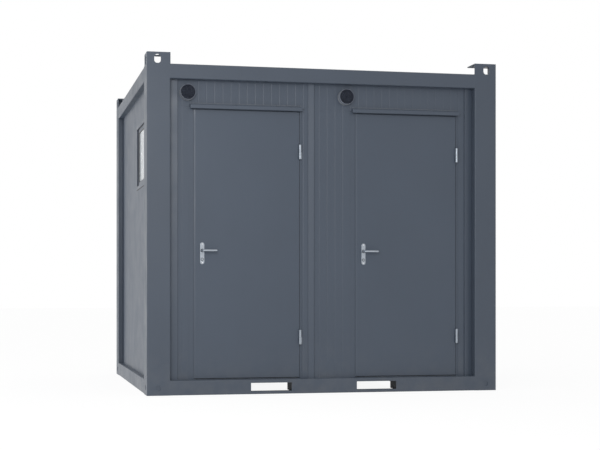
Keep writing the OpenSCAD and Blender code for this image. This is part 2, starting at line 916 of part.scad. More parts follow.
module lock_set(i) {
    channel_end = backset - lip_w - neck_r - 1;
    color(stainless) translate([door_x[i], 0, 0]) {
        backplate(leaf_front, 1);
        backplate(leaf_back, -1);
        translate([lip_w, 0, 0]) difference() {
            union() {
                block(
                    [0, lock_y - forend_w / 2, case_z + case_h / 2 - forend_h / 2],
                    [forend_t, lock_y + forend_w / 2, case_z + case_h / 2 + forend_h / 2]
                );
                block(
                    [forend_t - eps, lock_y - case_t / 2, case_z],
                    [forend_t + case_w, lock_y + case_t / 2, case_z + case_h]
                );
            }
            block(
                [-eps, lock_y - latch_size[1] / 2 - bolt_gap, lever_z - latch_size[2] / 2 - bolt_gap],
                [channel_end, lock_y + latch_size[1] / 2 + bolt_gap, lever_z + latch_size[2] / 2 + bolt_gap]
            );
            block(
                [-eps, lock_y - bolt_size[1] / 2 - bolt_gap, turn_z - bolt_size[2] / 2 - bolt_gap],
                [channel_end, lock_y + bolt_size[1] / 2 + bolt_gap, turn_z + bolt_size[2] / 2 + bolt_gap]
            );
            rod_y(backset - lip_w, lock_y - case_t, lock_y + case_t, lever_z, spindle_r + fit_gap);
            rod_y(backset - lip_w, lock_y - case_t, lock_y + case_t, turn_z, plug_r + fit_gap);
        }
    }
}

module lock_set_left() { lock_set(0); }
module lock_set_right() { lock_set(1); }

// One lever: neck, elbow, grip and the end turned back towards the leaf
module lever_half(y0, out) {
    grip_y = y0 - out * lever_out;
    tip = backset + lever_l - grip_r;
    rod_y(backset, min(y0, grip_y), max(y0, grip_y), lever_z, neck_r);
    translate([backset, grip_y, lever_z]) sphere(r = neck_r);
    rod_x(backset, tip, grip_y, lever_z, grip_r);
    translate([tip, grip_y, lever_z]) sphere(r = grip_r);
    rod_y(tip, min(grip_y, grip_y + out * 20), max(grip_y, grip_y + out * 20), lever_z, grip_r);
}

module door_lever(i) {
    color(stainless) translate([door_x[i], 0, 0]) {
        lever_half(leaf_front, 1);
        lever_half(leaf_back, -1);
        rod_y(backset, leaf_front - eps, leaf_back + eps, lever_z, spindle_r);
    }
}

module door_lever_left() { door_lever(0); }
module door_lever_right() { door_lever(1); }

module latch_bolt(i) {
    half = latch_size[1] / 2;
    color(stainless) translate([door_x[i] + lip_w - latch_throw, lock_y, lever_z - latch_size[2] / 2])
        linear_extrude(height = latch_size[2]) polygon([
            [0, -half], [latch_size[0], -half], [latch_size[0], half], [latch_throw - 2, half], [0, -half + 2]
        ]);
}

module latch_bolt_left() { latch_bolt(0); }
module latch_bolt_right() { latch_bolt(1); }

module lock_turn(i) {
    out = leaf_front - plate_t;
    inn = leaf_back + plate_t;
    color(stainless) translate([door_x[i] + backset, 0, turn_z]) {
        difference() {
            rod_y(0, out - 2, inn + 4, 0, plug_r);
            block([-1.2, out - 3, -plug_r * 0.6], [1.2, out + 6, plug_r * 0.6]);
        }
        rod_y(0, inn + 4, inn + 4 + knob_l, 0, knob_r - 4);
        block([-4, inn + 6, -knob_r], [4, inn + 4 + knob_l, knob_r]);
    }
}

module lock_turn_left() { lock_turn(0); }
module lock_turn_right() { lock_turn(1); }

module dead_bolt(i) {
    color(stainless) translate([door_x[i] + lip_w + 0.5, lock_y, turn_z])
        translate([0, -bolt_size[1] / 2, -bolt_size[2] / 2])
            cube([bolt_size[0] - plug_r - 1, bolt_size[1], bolt_size[2]]);
}

module dead_bolt_left() { dead_bolt(0); }
module dead_bolt_right() { dead_bolt(1); }

// Rain ledges: wall flange, sloping top and front lip, closed at both ends
module rain_ledges() {
    l = leaf_w + ledge_left + ledge_right;
    t = ledge_t / 2;
    up = ledge_lip + 6;
    color(steel) for (x = door_x) translate([x - ledge_left + l / 2, front, ledge_z]) {
        along_x(l) folded([
            [-t, up + 10], [-t, up], [-ledge_out + t, ledge_lip - t], [-ledge_out + t, 0]
        ], ledge_t, 1);
        for (s = [-1, 1]) translate([s * (l / 2 - t), 0, 0])
            along_x(ledge_t) polygon([[0, up], [0, 8], [-ledge_out + 1, 0], [-ledge_out + 1, ledge_lip - 1]]);
    }
}

// Fans

module fan_housings() {
    outer = duct_r + duct_t;
    inner_y = front + wall_t + 8;
    color([0.25, 0.27, 0.30]) for (x = fan_x) translate([x, 0, fan_z]) {
        rotate([90, 0, 0]) rotate_extrude() polygon([
            [duct_r, -inner_y], [outer + 12, -inner_y],
            [outer + 12, -front - wall_t], [outer, -front - wall_t],
            [outer, -duct_end - 5], [outer + duct_roll, -duct_end - 4],
            [outer + duct_roll, -duct_end - 1], [outer + duct_roll - 1, -duct_end],
            [duct_r + 1, -duct_end], [duct_r, -duct_end - 1]
        ]);
        difference() {
            rod_y(0, motor_y, motor_y + motor_l, 0, motor_r);
            rod_y(0, motor_y - eps, motor_y + motor_l - 4, 0, shaft_r + fit_gap);
        }
        for (a = [90, 210, 330]) rotate([0, a, 0])
            block([motor_r - 2, motor_y + 6, -3], [duct_r + 1, motor_y + motor_l - 6, 3]);
        intersection() {
            rod_y(0, duct_end, front, 0, duct_r + 1);
            for (k = [-6 : 6]) translate([0, duct_end + 12, k * slat_pitch]) rotate([slat_tilt, 0, 0])
                cube([2 * outer, slat_w, 1.4], center = true);
        }
    }
}

module fan_rotor(i) {
    blade_r = duct_r - 5;
    color([0.12, 0.12, 0.13]) translate([fan_x[i], 0, fan_z]) {
        rod_y(0, rotor_y - 6, rotor_y + 12, 0, 17);
        rod_y(0, rotor_y, motor_y + motor_l - 6, 0, shaft_r);
        intersection() {
            rod_y(0, rotor_y - 8, rotor_y + 14, 0, blade_r);
            for (k = [0 : blade_count - 1]) rotate([0, 360 * k / blade_count, 0])
                translate([0, rotor_y + 3, 0]) translate([14, 0, 0]) rotate([32, 0, 0])
                    translate([0, -1, -15]) cube([blade_r, 2, 30]);
        }
    }
}

module fan_rotor_left() { fan_rotor(0); }
module fan_rotor_right() { fan_rotor(1); }

// Windows, drawn in the left side wall with the room towards +X

// Upright frame in the wall's plane between two depths, w wide and h high with bars b wide
module window_ring(w, h, b, x0, x1) {
    difference() {
        block([x0, window_y - w / 2, window_z - h / 2], [x1, window_y + w / 2, window_z + h / 2]);
        block(
            [x0 - eps, window_y - w / 2 + b, window_z - h / 2 + b],
            [x1 + eps, window_y + w / 2 - b, window_z + h / 2 - b]
        );
    }
}

module window_frames() {
    stop_x = -sash_x - 0.5;
    color(panel) for (side = [0, 1]) at_side(side) {
        window_ring(window_w, window_h, window_face, -wall_x - window_proud, stop_x);
        window_ring(window_w, window_h, sash_seat, stop_x - eps, -room_x);
        for (s = [-1, 1]) translate([0, s * (sash_size[0] / 2 - 30), 0]) {
            rod_y(tilt_x, window_y - 20, window_y + 20, tilt_z, sash_gap - fit_gap);
            block(
                [tilt_x - 1.5, window_y - 20, tilt_z - sash_gap - eps],
                [tilt_x + 1.5, window_y + 20, tilt_z - 1]
            );
        }
    }
}

module window_sash(side) {
    color(panel) at_side(side) difference() {
        window_ring(sash_size[0], sash_size[1], sash_w, -sash_x, -sash_x + sash_t);
        rod_x(
            -sash_x + sash_t - 20, -sash_x + sash_t + eps,
            window_y, window_z + sash_size[1] / 2 - sash_w / 2, neck_r + fit_gap
        );
        for (s = [-1, 1]) translate([0, s * (sash_size[0] / 2 - 30), 0])
            rod_y(tilt_x, window_y - 22, window_y + 22, tilt_z, sash_gap);
    }
}

module window_sash_left() { window_sash(0); }
module window_sash_right() { window_sash(1); }

module window_glass(side) {
    face = -sash_x + glass_deep;
    w = sash_size[0] / 2 - sash_w;
    h = sash_size[1] / 2 - sash_w;
    color([0.80, 0.84, 0.88, 0.6]) at_side(side)
        block(
            [face, window_y - w, window_z - h],
            [face + glazing_t, window_y + w, window_z + h]
        );
}

module window_glass_left() { window_glass(0); }
module window_glass_right() { window_glass(1); }

module window_handle(side) {
    face = -sash_x + sash_t;
    z = window_z + sash_size[1] / 2 - sash_w / 2;
    grip_x = handle_in - room_x;
    color(white) at_side(side) {
        rod_x(face - 18, grip_x, window_y, z, neck_r);
        translate([grip_x, window_y, z]) sphere(r = neck_r);
        rod_y(grip_x, window_y, window_y + lever_l - grip_r, z, grip_r);
        translate([grip_x, window_y + lever_l - grip_r, z]) sphere(r = grip_r);
    }
}

module window_handle_left() { window_handle(0); }
module window_handle_right() { window_handle(1); }

// Toilets: u across, v out from the back wall, placed in a cabin
module at_toilet(i) {
    translate([cabin_x[i], room_y, 0]) mirror([0, 1, 0]) children();
}

function pan(half, ahead, behind, q = 0.55) = egg(half, ahead, behind, bowl_mid, q);

module toilet_bowl(i) {
    half = bowl_w / 2;
    ahead = bowl_l - bowl_mid;
    behind = bowl_mid - bowl_back;
    color(ceramic) at_toilet(i) {
        loft([
            [pan(half * 0.64, ahead * 0.56, behind * 0.84), floor_z],
            [pan(half * 0.60, ahead * 0.55, behind * 0.84), floor_z + 25],
            [pan(half * 0.62, ahead * 0.62, behind * 0.86), floor_z + rim_h * 0.4],
            [pan(half * 0.80, ahead * 0.84, behind * 0.96), floor_z + rim_h * 0.68],
            [pan(half * 0.96, ahead * 0.97, behind), rim_z - 45],
            [pan(half, ahead, behind), rim_z - 14],
            [pan(half - 2, ahead - 2, behind - 1), rim_z - 3],
            [pan(half - 5, ahead - 5, behind - 4), rim_z],
            [pan(half - 40, ahead - 46, mouth_back, 0.9), rim_z],
            [pan(half - 46, ahead - 52, mouth_back - 6, 0.9), rim_z - 8],
            [pan(half - 50, ahead - 60, mouth_back - 12, 1), rim_z - 60],
            [pan(half - 75, ahead - 110, mouth_back - 40, 1), rim_z - 130],
            [pan(well_r, well_r + 5, well_r + 15, 1), rim_z - well_deep],
            [pan(throat_r, throat_r + 4, throat_r + 9, 1), rim_z - well_deep - throat_drop]
        ]);
        for (s = [-1, 1]) block(
            [s * 74 - 7, seat_axis_v - 9, rim_z],
            [s * 74 + 7, seat_axis_v + 9, seat_axis_z + 9]
        );
        rod_x(-97, 97, seat_axis_v, seat_axis_z, seat_pin_r);
        rod_y(0, spigot_v, bowl_mid / 3, waste_z, waste_r - 7);
    }
}

module toilet_bowl_left() { toilet_bowl(0); }
module toilet_bowl_right() { toilet_bowl(1); }

module cisterns() {
    color(ceramic) for (i = [0, 1]) at_toilet(i)
        difference() {
            union() {
                translate([0, cistern_mid, rim_z]) linear_extrude(height = cistern_h - cistern_lid_t)
                    round_rect(cistern_w, cistern_d, 28);
                translate([0, cistern_mid, cistern_top - cistern_lid_t])
                    linear_extrude(height = cistern_lid_t - 5) round_rect(cistern_w + 8, cistern_d + 6, 31);
                translate([0, cistern_mid, cistern_top - 5])
                    linear_extrude(height = 5) round_rect(cistern_w, cistern_d - 2, 28);
            }
            rod_z(0, cistern_mid, cistern_top - button_deep, cistern_top + eps, button_r + fit_gap);
        }
}

module flush_button(i) {
    color(stainless) at_toilet(i) translate([0, cistern_mid, cistern_top]) {
        rod_z(0, 0, -5, 3, button_r);
        rod_z(0, 0, 2, 4, button_r - 2);
    }
}

module flush_button_left() { flush_button(0); }
module flush_button_right() { flush_button(1); }

// Knuckle on the seat's axis between two places across
module seat_knuckle(u0, u1, z0, z1, v1) {
    rod_x(u0, u1, seat_axis_v, seat_axis_z, 9);
    block([u0, seat_axis_v, z0], [u1, v1, z1]);
}

module toilet_seat(i) {
    half = bowl_w / 2;
    ahead = bowl_l - bowl_mid;
    color(white) at_toilet(i) {
        difference() {
            union() {
                translate([0, 0, seat_z]) linear_extrude(height = seat_t) difference() {
                    polygon(egg(half + 2, ahead + 4, bowl_mid - seat_back, bowl_mid, 0.6, 48));
                    polygon(egg(half - 58, ahead - 62, 104, bowl_mid, 1, 48));
                }
                for (u = [-57, 57])
                    seat_knuckle(u - 8, u + 8, seat_axis_z - 9, seat_z + seat_t, seat_back + 25);
            }
            rod_x(-98, 98, seat_axis_v, seat_axis_z, seat_pin_r + fit_gap);
        }
        for (u = [-1, 1], v = [-60, 130])
            rod_z(u * (half - 32 - (v > 0 ? 22 : 0)), bowl_mid + v, rim_z, seat_z + 1, 8);
    }
}

module toilet_seat_left() { toilet_seat(0); }
module toilet_seat_right() { toilet_seat(1); }

module toilet_lid(i) {
    half = bowl_w / 2;
    ahead = bowl_l - bowl_mid;
    z = seat_z + seat_t + 0.5;
    color(white) at_toilet(i) difference() {
        union() {
            loft([
                [egg(half, ahead + 2, bowl_mid - seat_back, bowl_mid, 0.6), z],
                [egg(half + 2, ahead + 4, bowl_mid - seat_back, bowl_mid, 0.6), z + 4],
                [egg(half + 1, ahead + 3, bowl_mid - seat_back, bowl_mid, 0.6), z + lid_t - 5],
                [egg(half - 6, ahead - 5, bowl_mid - seat_back - 6, bowl_mid, 0.6), z + lid_t]
            ]);
            for (u = [-89, 89]) seat_knuckle(u - 7, u + 7, z, z + lid_t - 7, seat_back + 20);
        }
        rod_x(-98, 98, seat_axis_v, seat_axis_z, seat_pin_r + fit_gap);
    }
}

module toilet_lid_left() { toilet_lid(0); }
module toilet_lid_right() { toilet_lid(1); }

// Basins on both faces of the partition: u along the wall, v out from it
module at_basin(i) {
    translate([divider_x, basin_y, 0]) mirror([i == 0 ? 1 : 0, 0, 0])
        translate([partition_t / 2, 0, 0]) rotate([0, 0, -90]) children();
}

module basins() {
    half = basin_w / 2;
    mid = basin_mid;
    ahead = basin_d - mid;
    color(ceramic) for (i = [0, 1]) at_basin(i) loft([
        [egg(half * 0.30, ahead * 0.35, mid, mid, 0.35), basin_z - basin_drop],
        [egg(half * 0.70, ahead * 0.66, mid, mid, 0.35), basin_z - basin_drop * 0.62],
        [egg(half * 0.95, ahead * 0.93, mid, mid, 0.35), basin_z - basin_drop * 0.28],
        [egg(half, ahead, mid, mid, 0.35), basin_z - 12],
        [egg(half - 4, ahead - 4, mid - 0.5, mid, 0.35), basin_z],
        [egg(half - 24, ahead - 24, 15, mid, 0.6), basin_z],
        [egg(half - 30, ahead - 30, 10, mid, 0.6), basin_z - 10],
        [egg(half * 0.62, ahead * 0.62, 0, mid + 8, 0.8), basin_z - basin_drop * 0.6],
        [egg(half * 0.22, ahead * 0.25, -20, mid + 12, 1), basin_z - basin_drop * 0.78]
    ]);
}

module taps() {
    trap_z = basin_z - basin_drop;
    color(stainless) for (i = [0, 1]) at_basin(i) {
        tap_body();
        rod_z(0, tap_v, basin_z + tap_h, basin_z + tap_h + 12, tap_pin_r);
        translate([0, basin_mid, 0]) {
            rod_z(0, 0, trap_z - trap_neck - 5, trap_z, 16);
            rod_z(0, 0, trap_z - trap_l, trap_z - trap_neck, 30);
        }
        rod_y(0, 0, basin_mid + 2, trap_z - trap_l * 0.6, 16);
    }
}

// Tap body with its spout
module tap_body() {
    translate([0, tap_v, basin_z]) rotate_extrude() polygon([
        [0, 0], [tap_r + 4, 0], [tap_r + 4, 5], [tap_r - 3, 12],
        [tap_r - 3, tap_h - 8], [tap_r, tap_h], [0, tap_h]
    ]);
    translate([0, tap_v, basin_z + tap_h * 0.62]) rotate([-82, 0, 0]) cylinder(h = 105, r = 10);
    translate([0, tap_v + 97, basin_z + tap_h * 0.62 + 2]) cylinder(h = 22, r = 10.5);
}

module tap_lever(i) {
    z = basin_z + tap_h + 0.4;
    color(stainless) at_basin(i) difference() {
        union() {
            rod_z(0, tap_v, z, z + 20, tap_r - 2);
            translate([0, tap_v, z + 13]) rotate([-96, 0, 0]) cylinder(h = 70, r = 5);
        }
        rod_z(0, tap_v, z - eps, z + 14, tap_pin_r + fit_gap);
    }
}

module tap_lever_left() { tap_lever(0); }
module tap_lever_right() { tap_lever(1); }

module cabin_lights() {
    color(white) for (x = cabin_x) translate([x, 0, ceiling_z]) rotate_extrude() polygon([
        [0, 0], [light_r, 0], [light_r, -18], [light_r - 8, -30],
        [light_r * 0.7, 10 - light_h], [light_r * 0.35, 2 - light_h], [0, -light_h]
    ]);
}

module mirrors() {
    color([0.8, 0.85, 0.88]) for (i = [0, 1]) at_basin(i)
        block(
            [-mirror_w / 2, 0, basin_z + mirror_up],
            [mirror_w / 2, 5, basin_z + mirror_up + mirror_h]
        );
}

// Paper holder on the side wall: a plate, an arm and the upturned end
module paper_holders() {
    z = floor_z + holder_h;
    y = room_y - bowl_l;
    bar_x = -room_x + holder_out;
    color(stainless) for (side = [0, 1]) at_side(side) {
        rod_x(-room_x, -room_x + 6, y, z, 25);
        rod_x(-room_x, bar_x, y, z, 7);
        translate([bar_x, y, z]) sphere(r = 7);
        rod_y(bar_x, y - holder_l, y, z, 7);
        translate([bar_x, y - holder_l, z]) sphere(r = 9);
    }
}

// Pipe end behind the back wall: a sleeve in the wall, a groove and the stub that a coupling goes on
module pipe_end(x, from_y, z, r) {
    stub_y = wall_y + groove_w + 1;
    difference() {
        union() {
            rod_y(x, from_y, wall_y + 1, z, r + sleeve_t);
            rod_y(x, wall_y, stub_y + eps, z, r - 1.2);
            rod_y(x, stub_y, stub_y + stub_l, z, r);
        }
        rod_y(x, room_y + wall_t / 2, stub_y + stub_l + eps, z, r - pipe_t);
    }
}

module service_pipes() {
    color([0.35, 0.36, 0.38]) for (i = [0, 1]) {
        pipe_end(cabin_x[i], room_y - spigot_v, waste_z, waste_r);
        pipe_end(cabin_x[i] + water_u, room_y - water_v - water_r, water_z, water_r);
        rod_x(cabin_x[i] + cistern_w / 2, cabin_x[i] + water_u, room_y - water_v, water_z, 8);
    }
}

bottom_rails();
fork_pockets();
floor_joists();
underfloor_sheet();
floor_deck();
bottom_corners();
corner_posts();
top_corners();
top_rails();
roof_sheet();
ceiling_panel();
front_wall();
side_walls();
back_wall();
partition_wall();
cover_strips();
door_frames();
hinge_pins();
rain_ledges();
fan_housings();
window_frames();
toilet_bowl_left();
toilet_bowl_right();
cisterns();
basins();
taps();
cabin_lights();
mirrors();
paper_holders();
service_pipes();
door_leaf_left();
hinge_arms_left();
lock_set_left();
door_lever_left();
latch_bolt_left();
lock_turn_left();
dead_bolt_left();
door_leaf_right();
hinge_arms_right();
lock_set_right();
door_lever_right();
latch_bolt_right();
lock_turn_right();
dead_bolt_right();
window_sash_left();
window_glass_left();
window_handle_left();
window_sash_right();
window_glass_right();
window_handle_right();
fan_rotor_left();
fan_rotor_right();
toilet_seat_left();
toilet_lid_left();
flush_button_left();
tap_lever_left();
toilet_seat_right();
toilet_lid_right();
flush_button_right();
tap_lever_right();
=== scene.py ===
import math
import random

import bmesh
import bpy
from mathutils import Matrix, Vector


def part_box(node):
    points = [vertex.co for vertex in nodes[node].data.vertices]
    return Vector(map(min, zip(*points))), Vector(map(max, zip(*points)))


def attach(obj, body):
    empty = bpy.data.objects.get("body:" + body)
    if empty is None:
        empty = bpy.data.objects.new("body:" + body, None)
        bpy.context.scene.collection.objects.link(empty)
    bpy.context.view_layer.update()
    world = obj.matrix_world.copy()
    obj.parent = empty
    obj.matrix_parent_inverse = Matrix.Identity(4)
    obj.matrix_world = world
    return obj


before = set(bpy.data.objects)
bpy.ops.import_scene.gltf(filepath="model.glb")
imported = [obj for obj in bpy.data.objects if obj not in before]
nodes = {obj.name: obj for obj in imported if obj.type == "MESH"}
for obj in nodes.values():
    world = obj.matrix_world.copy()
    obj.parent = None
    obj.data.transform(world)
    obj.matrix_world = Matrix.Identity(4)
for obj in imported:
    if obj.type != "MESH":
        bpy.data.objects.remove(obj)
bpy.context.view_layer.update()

SIDES = ("left", "right")

# Linear colours of the painted steel, panels, metals, plastics, glass and ceramics; three of them also paint
# light and shade, as noted beside them
FRAME_PAINT = (0.0765, 0.0970, 0.1310)
PANEL_PAINT = (0.0755, 0.0970, 0.1330)
DOOR_PAINT = (0.0745, 0.0965, 0.1330)
# Pale colour, far lighter than the frame's paint, that paints the highlight on the fan ducts' rims
RIM_PAINTED_HIGHLIGHT = (0.250, 0.280, 0.335)
WORN_PAINT = (0.33, 0.36, 0.39)
WHITE_LINING = (0.72, 0.72, 0.70)
ZINC = (0.50, 0.53, 0.55)
STAINLESS = (0.385, 0.422, 0.470)
HINGE_STEEL = (0.325, 0.360, 0.405)
CHROME = (0.78, 0.79, 0.80)
SILVER = (0.85, 0.87, 0.88)
BLACK_PLASTIC = (0.055, 0.065, 0.092)
# Near-black underseal on the fork pockets, which also paints the shade inside them
UNDERSEAL_AND_SHADE = (0.010, 0.013, 0.018)
SEAL_GREY = (0.050, 0.061, 0.080)
RUBBER = (0.015, 0.015, 0.016)
SILICONE = (0.22, 0.23, 0.24)
CERAMIC = (0.80, 0.80, 0.77)
SEAT_PLASTIC = (0.78, 0.78, 0.76)
LAMP_PLASTIC = (0.82, 0.82, 0.78)
PIPE_PLASTIC = (0.10, 0.10, 0.11)
VINYL = (0.20, 0.21, 0.22)
DUST = (0.30, 0.29, 0.27)
# Pale tints of the frosted glass, which also paint its white reflection at a grazing view
FROST_AND_REFLECTION_TINTS = ((0.58, 0.64, 0.69), (0.68, 0.73, 0.78))
WATER_TINTS = ((0.84, 0.90, 0.92), (0.90, 0.94, 0.95))
FLOOR_TINTS = ((0.90, 0.90, 0.90), (0.94, 0.94, 0.94))
WHITE = (1.0, 1.0, 1.0, 1.0)

# Inner faces of the walls, in metres: inside them the panels are white
ROOM_X = 1.3695
ROOM_Y = 1.0922

# Fan ducts, in metres: radius of the inner flange, and radius inside which the lip is black; outside it a
# pale colour paints the highlight on the rim
FLANGE_R = 0.0735
BLACK_LIP_R = 0.0612

# Part of a noise texture's range that holds nearly all of its values
CLOUD_LOW, CLOUD_HIGH = 0.3, 0.7

# Rain streaks: their noise's scale, its factor along each axis, and their shade of the paint
STREAK_SCALE = 14.0
STREAK_STRETCH = (1.0, 1.0, 0.05)
STREAK_SHADE = 0.72


# Materials

def new_material(name):
    material = bpy.data.materials.new(name)
    material.use_nodes = True
    tree = material.node_tree
    return material, tree, tree.nodes["Principled BSDF"]


def link(tree, a, b):
    tree.links.new(a, b)


def coordinates(tree):
    return tree.nodes.new("ShaderNodeTexCoord").outputs["Object"]


def split_coordinates(tree):
    """Sockets X, Y and Z of the place on the object."""
    split = tree.nodes.new("ShaderNodeSeparateXYZ")
    link(tree, coordinates(tree), split.inputs["Vector"])
    return split.outputs


def noise(tree, scale, detail=3.0, stretch=(1, 1, 1)):
    mapping = tree.nodes.new("ShaderNodeMapping")
    mapping.inputs["Scale"].default_value = stretch
    link(tree, coordinates(tree), mapping.inputs["Vector"])
    texture = tree.nodes.new("ShaderNodeTexNoise")
    texture.inputs["Scale"].default_value = scale
    texture.inputs["Detail"].default_value = detail
    link(tree, mapping.outputs["Vector"], texture.inputs["Vector"])
    return texture.outputs["Fac"]


def ramp(tree, value, low, high, out_low=0.0, out_high=1.0):
    node = tree.nodes.new("ShaderNodeMapRange")
    node.inputs["From Min"].default_value = low
    node.inputs["From Max"].default_value = high
    node.inputs["To Min"].default_value = out_low
    node.inputs["To Max"].default_value = out_high
    link(tree, value, node.inputs["Value"])
    return node.outputs["Result"]


def clouds(tree, scale, detail=4.0, out_low=0.0, out_high=1.0):
    """Noise that fills the range from out_low to out_high."""
    return ramp(tree, noise(tree, scale, detail), CLOUD_LOW, CLOUD_HIGH, out_low, out_high)


def math_node(tree, operation, a, b):
    node = tree.nodes.new("ShaderNodeMath")
    node.operation = operation
    for socket, value in zip(node.inputs, (a, b)):
        if isinstance(value, (int, float)):
            socket.default_value = value
        else:
            link(tree, value, socket)
    return node.outputs["Value"]


def mix_colour(tree, factor, a, b):
    node = tree.nodes.new("ShaderNodeMix")
    node.data_type = "RGBA"
    link(tree, factor, node.inputs["Factor"])
    for socket, value in ((node.inputs["A"], a), (node.inputs["B"], b)):
        if isinstance(value, tuple):
            socket.default_value = (*value, 1.0)
        else:
            link(tree, value, socket)
    return node.outputs["Result"]


def bump(tree, height, distance, strength=1.0, normal=None):
    node = tree.nodes.new("ShaderNodeBump")
    node.inputs["Distance"].default_value = distance
    node.inputs["Strength"].default_value = strength
    link(tree, height, node.inputs["Height"])
    if normal is not None:
        link(tree, normal, node.inputs["Normal"])
    return node.outputs["Normal"]


def shade(colour, factor):
    return tuple(c * factor for c in colour)


def edge_mask(tree, radius):
    """0 on flat faces and up to 1 along edges."""
    rounded = tree.nodes.new("ShaderNodeBevel")
    rounded.samples = 4
    rounded.inputs["Radius"].default_value = radius
    true = tree.nodes.new("ShaderNodeNewGeometry")
    product = tree.nodes.new("ShaderNodeVectorMath")
    product.operation = "DOT_PRODUCT"
    link(tree, rounded.outputs["Normal"], product.inputs[0])
    link(tree, true.outputs["Normal"], product.inputs[1])
    return ramp(tree, product.outputs["Value"], 0.995, 0.85)


def with_streaks(tree, base, colour, amount):
    """Base colour with dark runs of rain down the surface."""
    runs = ramp(tree, noise(tree, STREAK_SCALE, 3.0, STREAK_STRETCH), 0.5, 0.8, 0.0, amount)
    return mix_colour(tree, runs, base, shade(colour, STREAK_SHADE))


def with_worn_edges(tree, base, amount):
    """Base colour with paint rubbed off in places along the edges."""
    chips = ramp(tree, noise(tree, 55.0, 6.0), 0.42, 0.62)
    worn = math_node(tree, "MULTIPLY", edge_mask(tree, 0.0016), chips)
    worn = math_node(tree, "MULTIPLY", worn, amount)
    return mix_colour(tree, worn, base, WORN_PAINT)


def with_dust(tree, base, top, bottom, amount):
    """Base colour with patches of dust that thicken from one height down to another."""
    low = ramp(tree, split_coordinates(tree)["Z"], top, bottom, 0.0, amount)
    patches = ramp(tree, noise(tree, 9.0, 6.0), 0.35, 0.75)
    return mix_colour(tree, math_node(tree, "MULTIPLY", low, patches), base, DUST)


def surface(name, colour, roughness, metallic=0.0, variation=0.05, variation_scale=1.6,
            grain_scale=260.0, grain_depth=0.0004, grain_stretch=(1, 1, 1), wave_depth=0.0,
            rough_spread=0.06, dust=0.0, coat=0.0, wear=0.0, streaks=0.0):
    """Material with colour variation, roughness variation, edge wear, fine grain and slow waves."""
    material, tree, shader = new_material(name)
    varied = clouds(tree, variation_scale, 5.0)
    base = mix_colour(tree, varied, shade(colour, 1 - variation), shade(colour, 1 + variation))
    if streaks > 0:
        base = with_streaks(tree, base, colour, streaks)
    if wear > 0:
        base = with_worn_edges(tree, base, wear)
    if dust > 0:
        base = with_dust(tree, base, 0.45, 0.0, dust)
    link(tree, base, shader.inputs["Base Color"])
    rough = clouds(tree, variation_scale * 4, 4.0, roughness - rough_spread, roughness + rough_spread)
    link(tree, rough, shader.inputs["Roughness"])
    normal = bump(tree, noise(tree, grain_scale, 2.0, grain_stretch), grain_depth, 0.6)
    if wave_depth > 0:
        normal = bump(tree, noise(tree, 1.3, 1.0), wave_depth, 0.5, normal)
    link(tree, normal, shader.inputs["Normal"])
    shader.inputs["Metallic"].default_value = metallic
    if coat > 0:
        shader.inputs["Coat Weight"].default_value = coat
        shader.inputs["Coat Roughness"].default_value = 0.12
    return material


def wall_panel(name, outside):
    """Painted steel outside and white lining on the faces that stand round the cabins."""
    material, tree, shader = new_material(name)
    place = split_coordinates(tree)
    near_x = math_node(tree, "LESS_THAN", math_node(tree, "ABSOLUTE", place["X"], 0.0), ROOM_X)
    near_y = math_node(tree, "LESS_THAN", math_node(tree, "ABSOLUTE", place["Y"], 0.0), ROOM_Y)
    inside = math_node(tree, "MULTIPLY", near_x, near_y)
    varied = clouds(tree, 1.4, 5.0)
    outer = mix_colour(tree, varied, shade(outside, 0.965), shade(outside, 1.035))
    outer = with_streaks(tree, outer, outside, 0.10)
    outer = with_dust(tree, outer, 0.5, 0.1, 0.12)
    inner = mix_colour(tree, varied, shade(WHITE_LINING, 0.97), WHITE_LINING)
    link(tree, mix_colour(tree, inside, outer, inner), shader.inputs["Base Color"])
    link(tree, clouds(tree, 6.0, 4.0, 0.40, 0.48), shader.inputs["Roughness"])
    normal = bump(tree, noise(tree, 300.0, 2.0), 0.0002, 0.4)
    link(tree, bump(tree, noise(tree, 1.1, 1.0), 0.0010, 0.5, normal), shader.inputs["Normal"])
    return material


def glazing(name):
    """Frosted glass: clear in the pane's depth, with a fine etched face, and pale tints that paint the white
    reflection seen at a grazing view.
    """
    material, tree, shader = new_material(name)
    shader.inputs["Transmission Weight"].default_value = 0.35
    shader.inputs["IOR"].default_value = 1.5
    frost = ramp(tree, noise(tree, 420.0, 4.0), 0.35, 0.65)
    # Pale tints that paint the glass's white reflection
    link(tree, mix_colour(tree, frost, *FROST_AND_REFLECTION_TINTS), shader.inputs["Base Color"])
    link(tree, clouds(tree, 14.0, 4.0, 0.08, 0.18), shader.inputs["Roughness"])
    link(tree, bump(tree, frost, 0.00004, 0.4), shader.inputs["Normal"])
    return material


def clear_water(name):
    """Water in the pans, with a faint ripple."""
    material, tree, shader = new_material(name)
    shader.inputs["Transmission Weight"].default_value = 0.9
    shader.inputs["IOR"].default_value = 1.33
    link(tree, mix_colour(tree, noise(tree, 12.0), *WATER_TINTS), shader.inputs["Base Color"])
    link(tree, clouds(tree, 20.0, 3.0, 0.01, 0.03), shader.inputs["Roughness"])
    link(tree, bump(tree, noise(tree, 16.0, 1.0), 0.0006, 0.4), shader.inputs["Normal"])
    return material


def vinyl_floor(name):
    """Grey safety vinyl with light and dark flecks."""
    material, tree, shader = new_material(name)
    cells = tree.nodes.new("ShaderNodeTexVoronoi")
    cells.inputs["Scale"].default_value = 240.0
    link(tree, coordinates(tree), cells.inputs["Vector"])
    flecks = ramp(tree, cells.outputs["Distance"], 0.05, 0.25)
    base = mix_colour(tree, flecks, shade(VINYL, 1.5), VINYL)
    base = mix_colour(tree, clouds(tree, 2.0, 5.0, 0.0, 0.35), base, shade(VINYL, 0.75))
    link(tree, base, shader.inputs["Base Color"])
    link(tree, clouds(tree, 7.0, 4.0, 0.55, 0.72), shader.inputs["Roughness"])
    link(tree, bump(tree, cells.outputs["Distance"], 0.0004, 0.7), shader.inputs["Normal"])
    return material


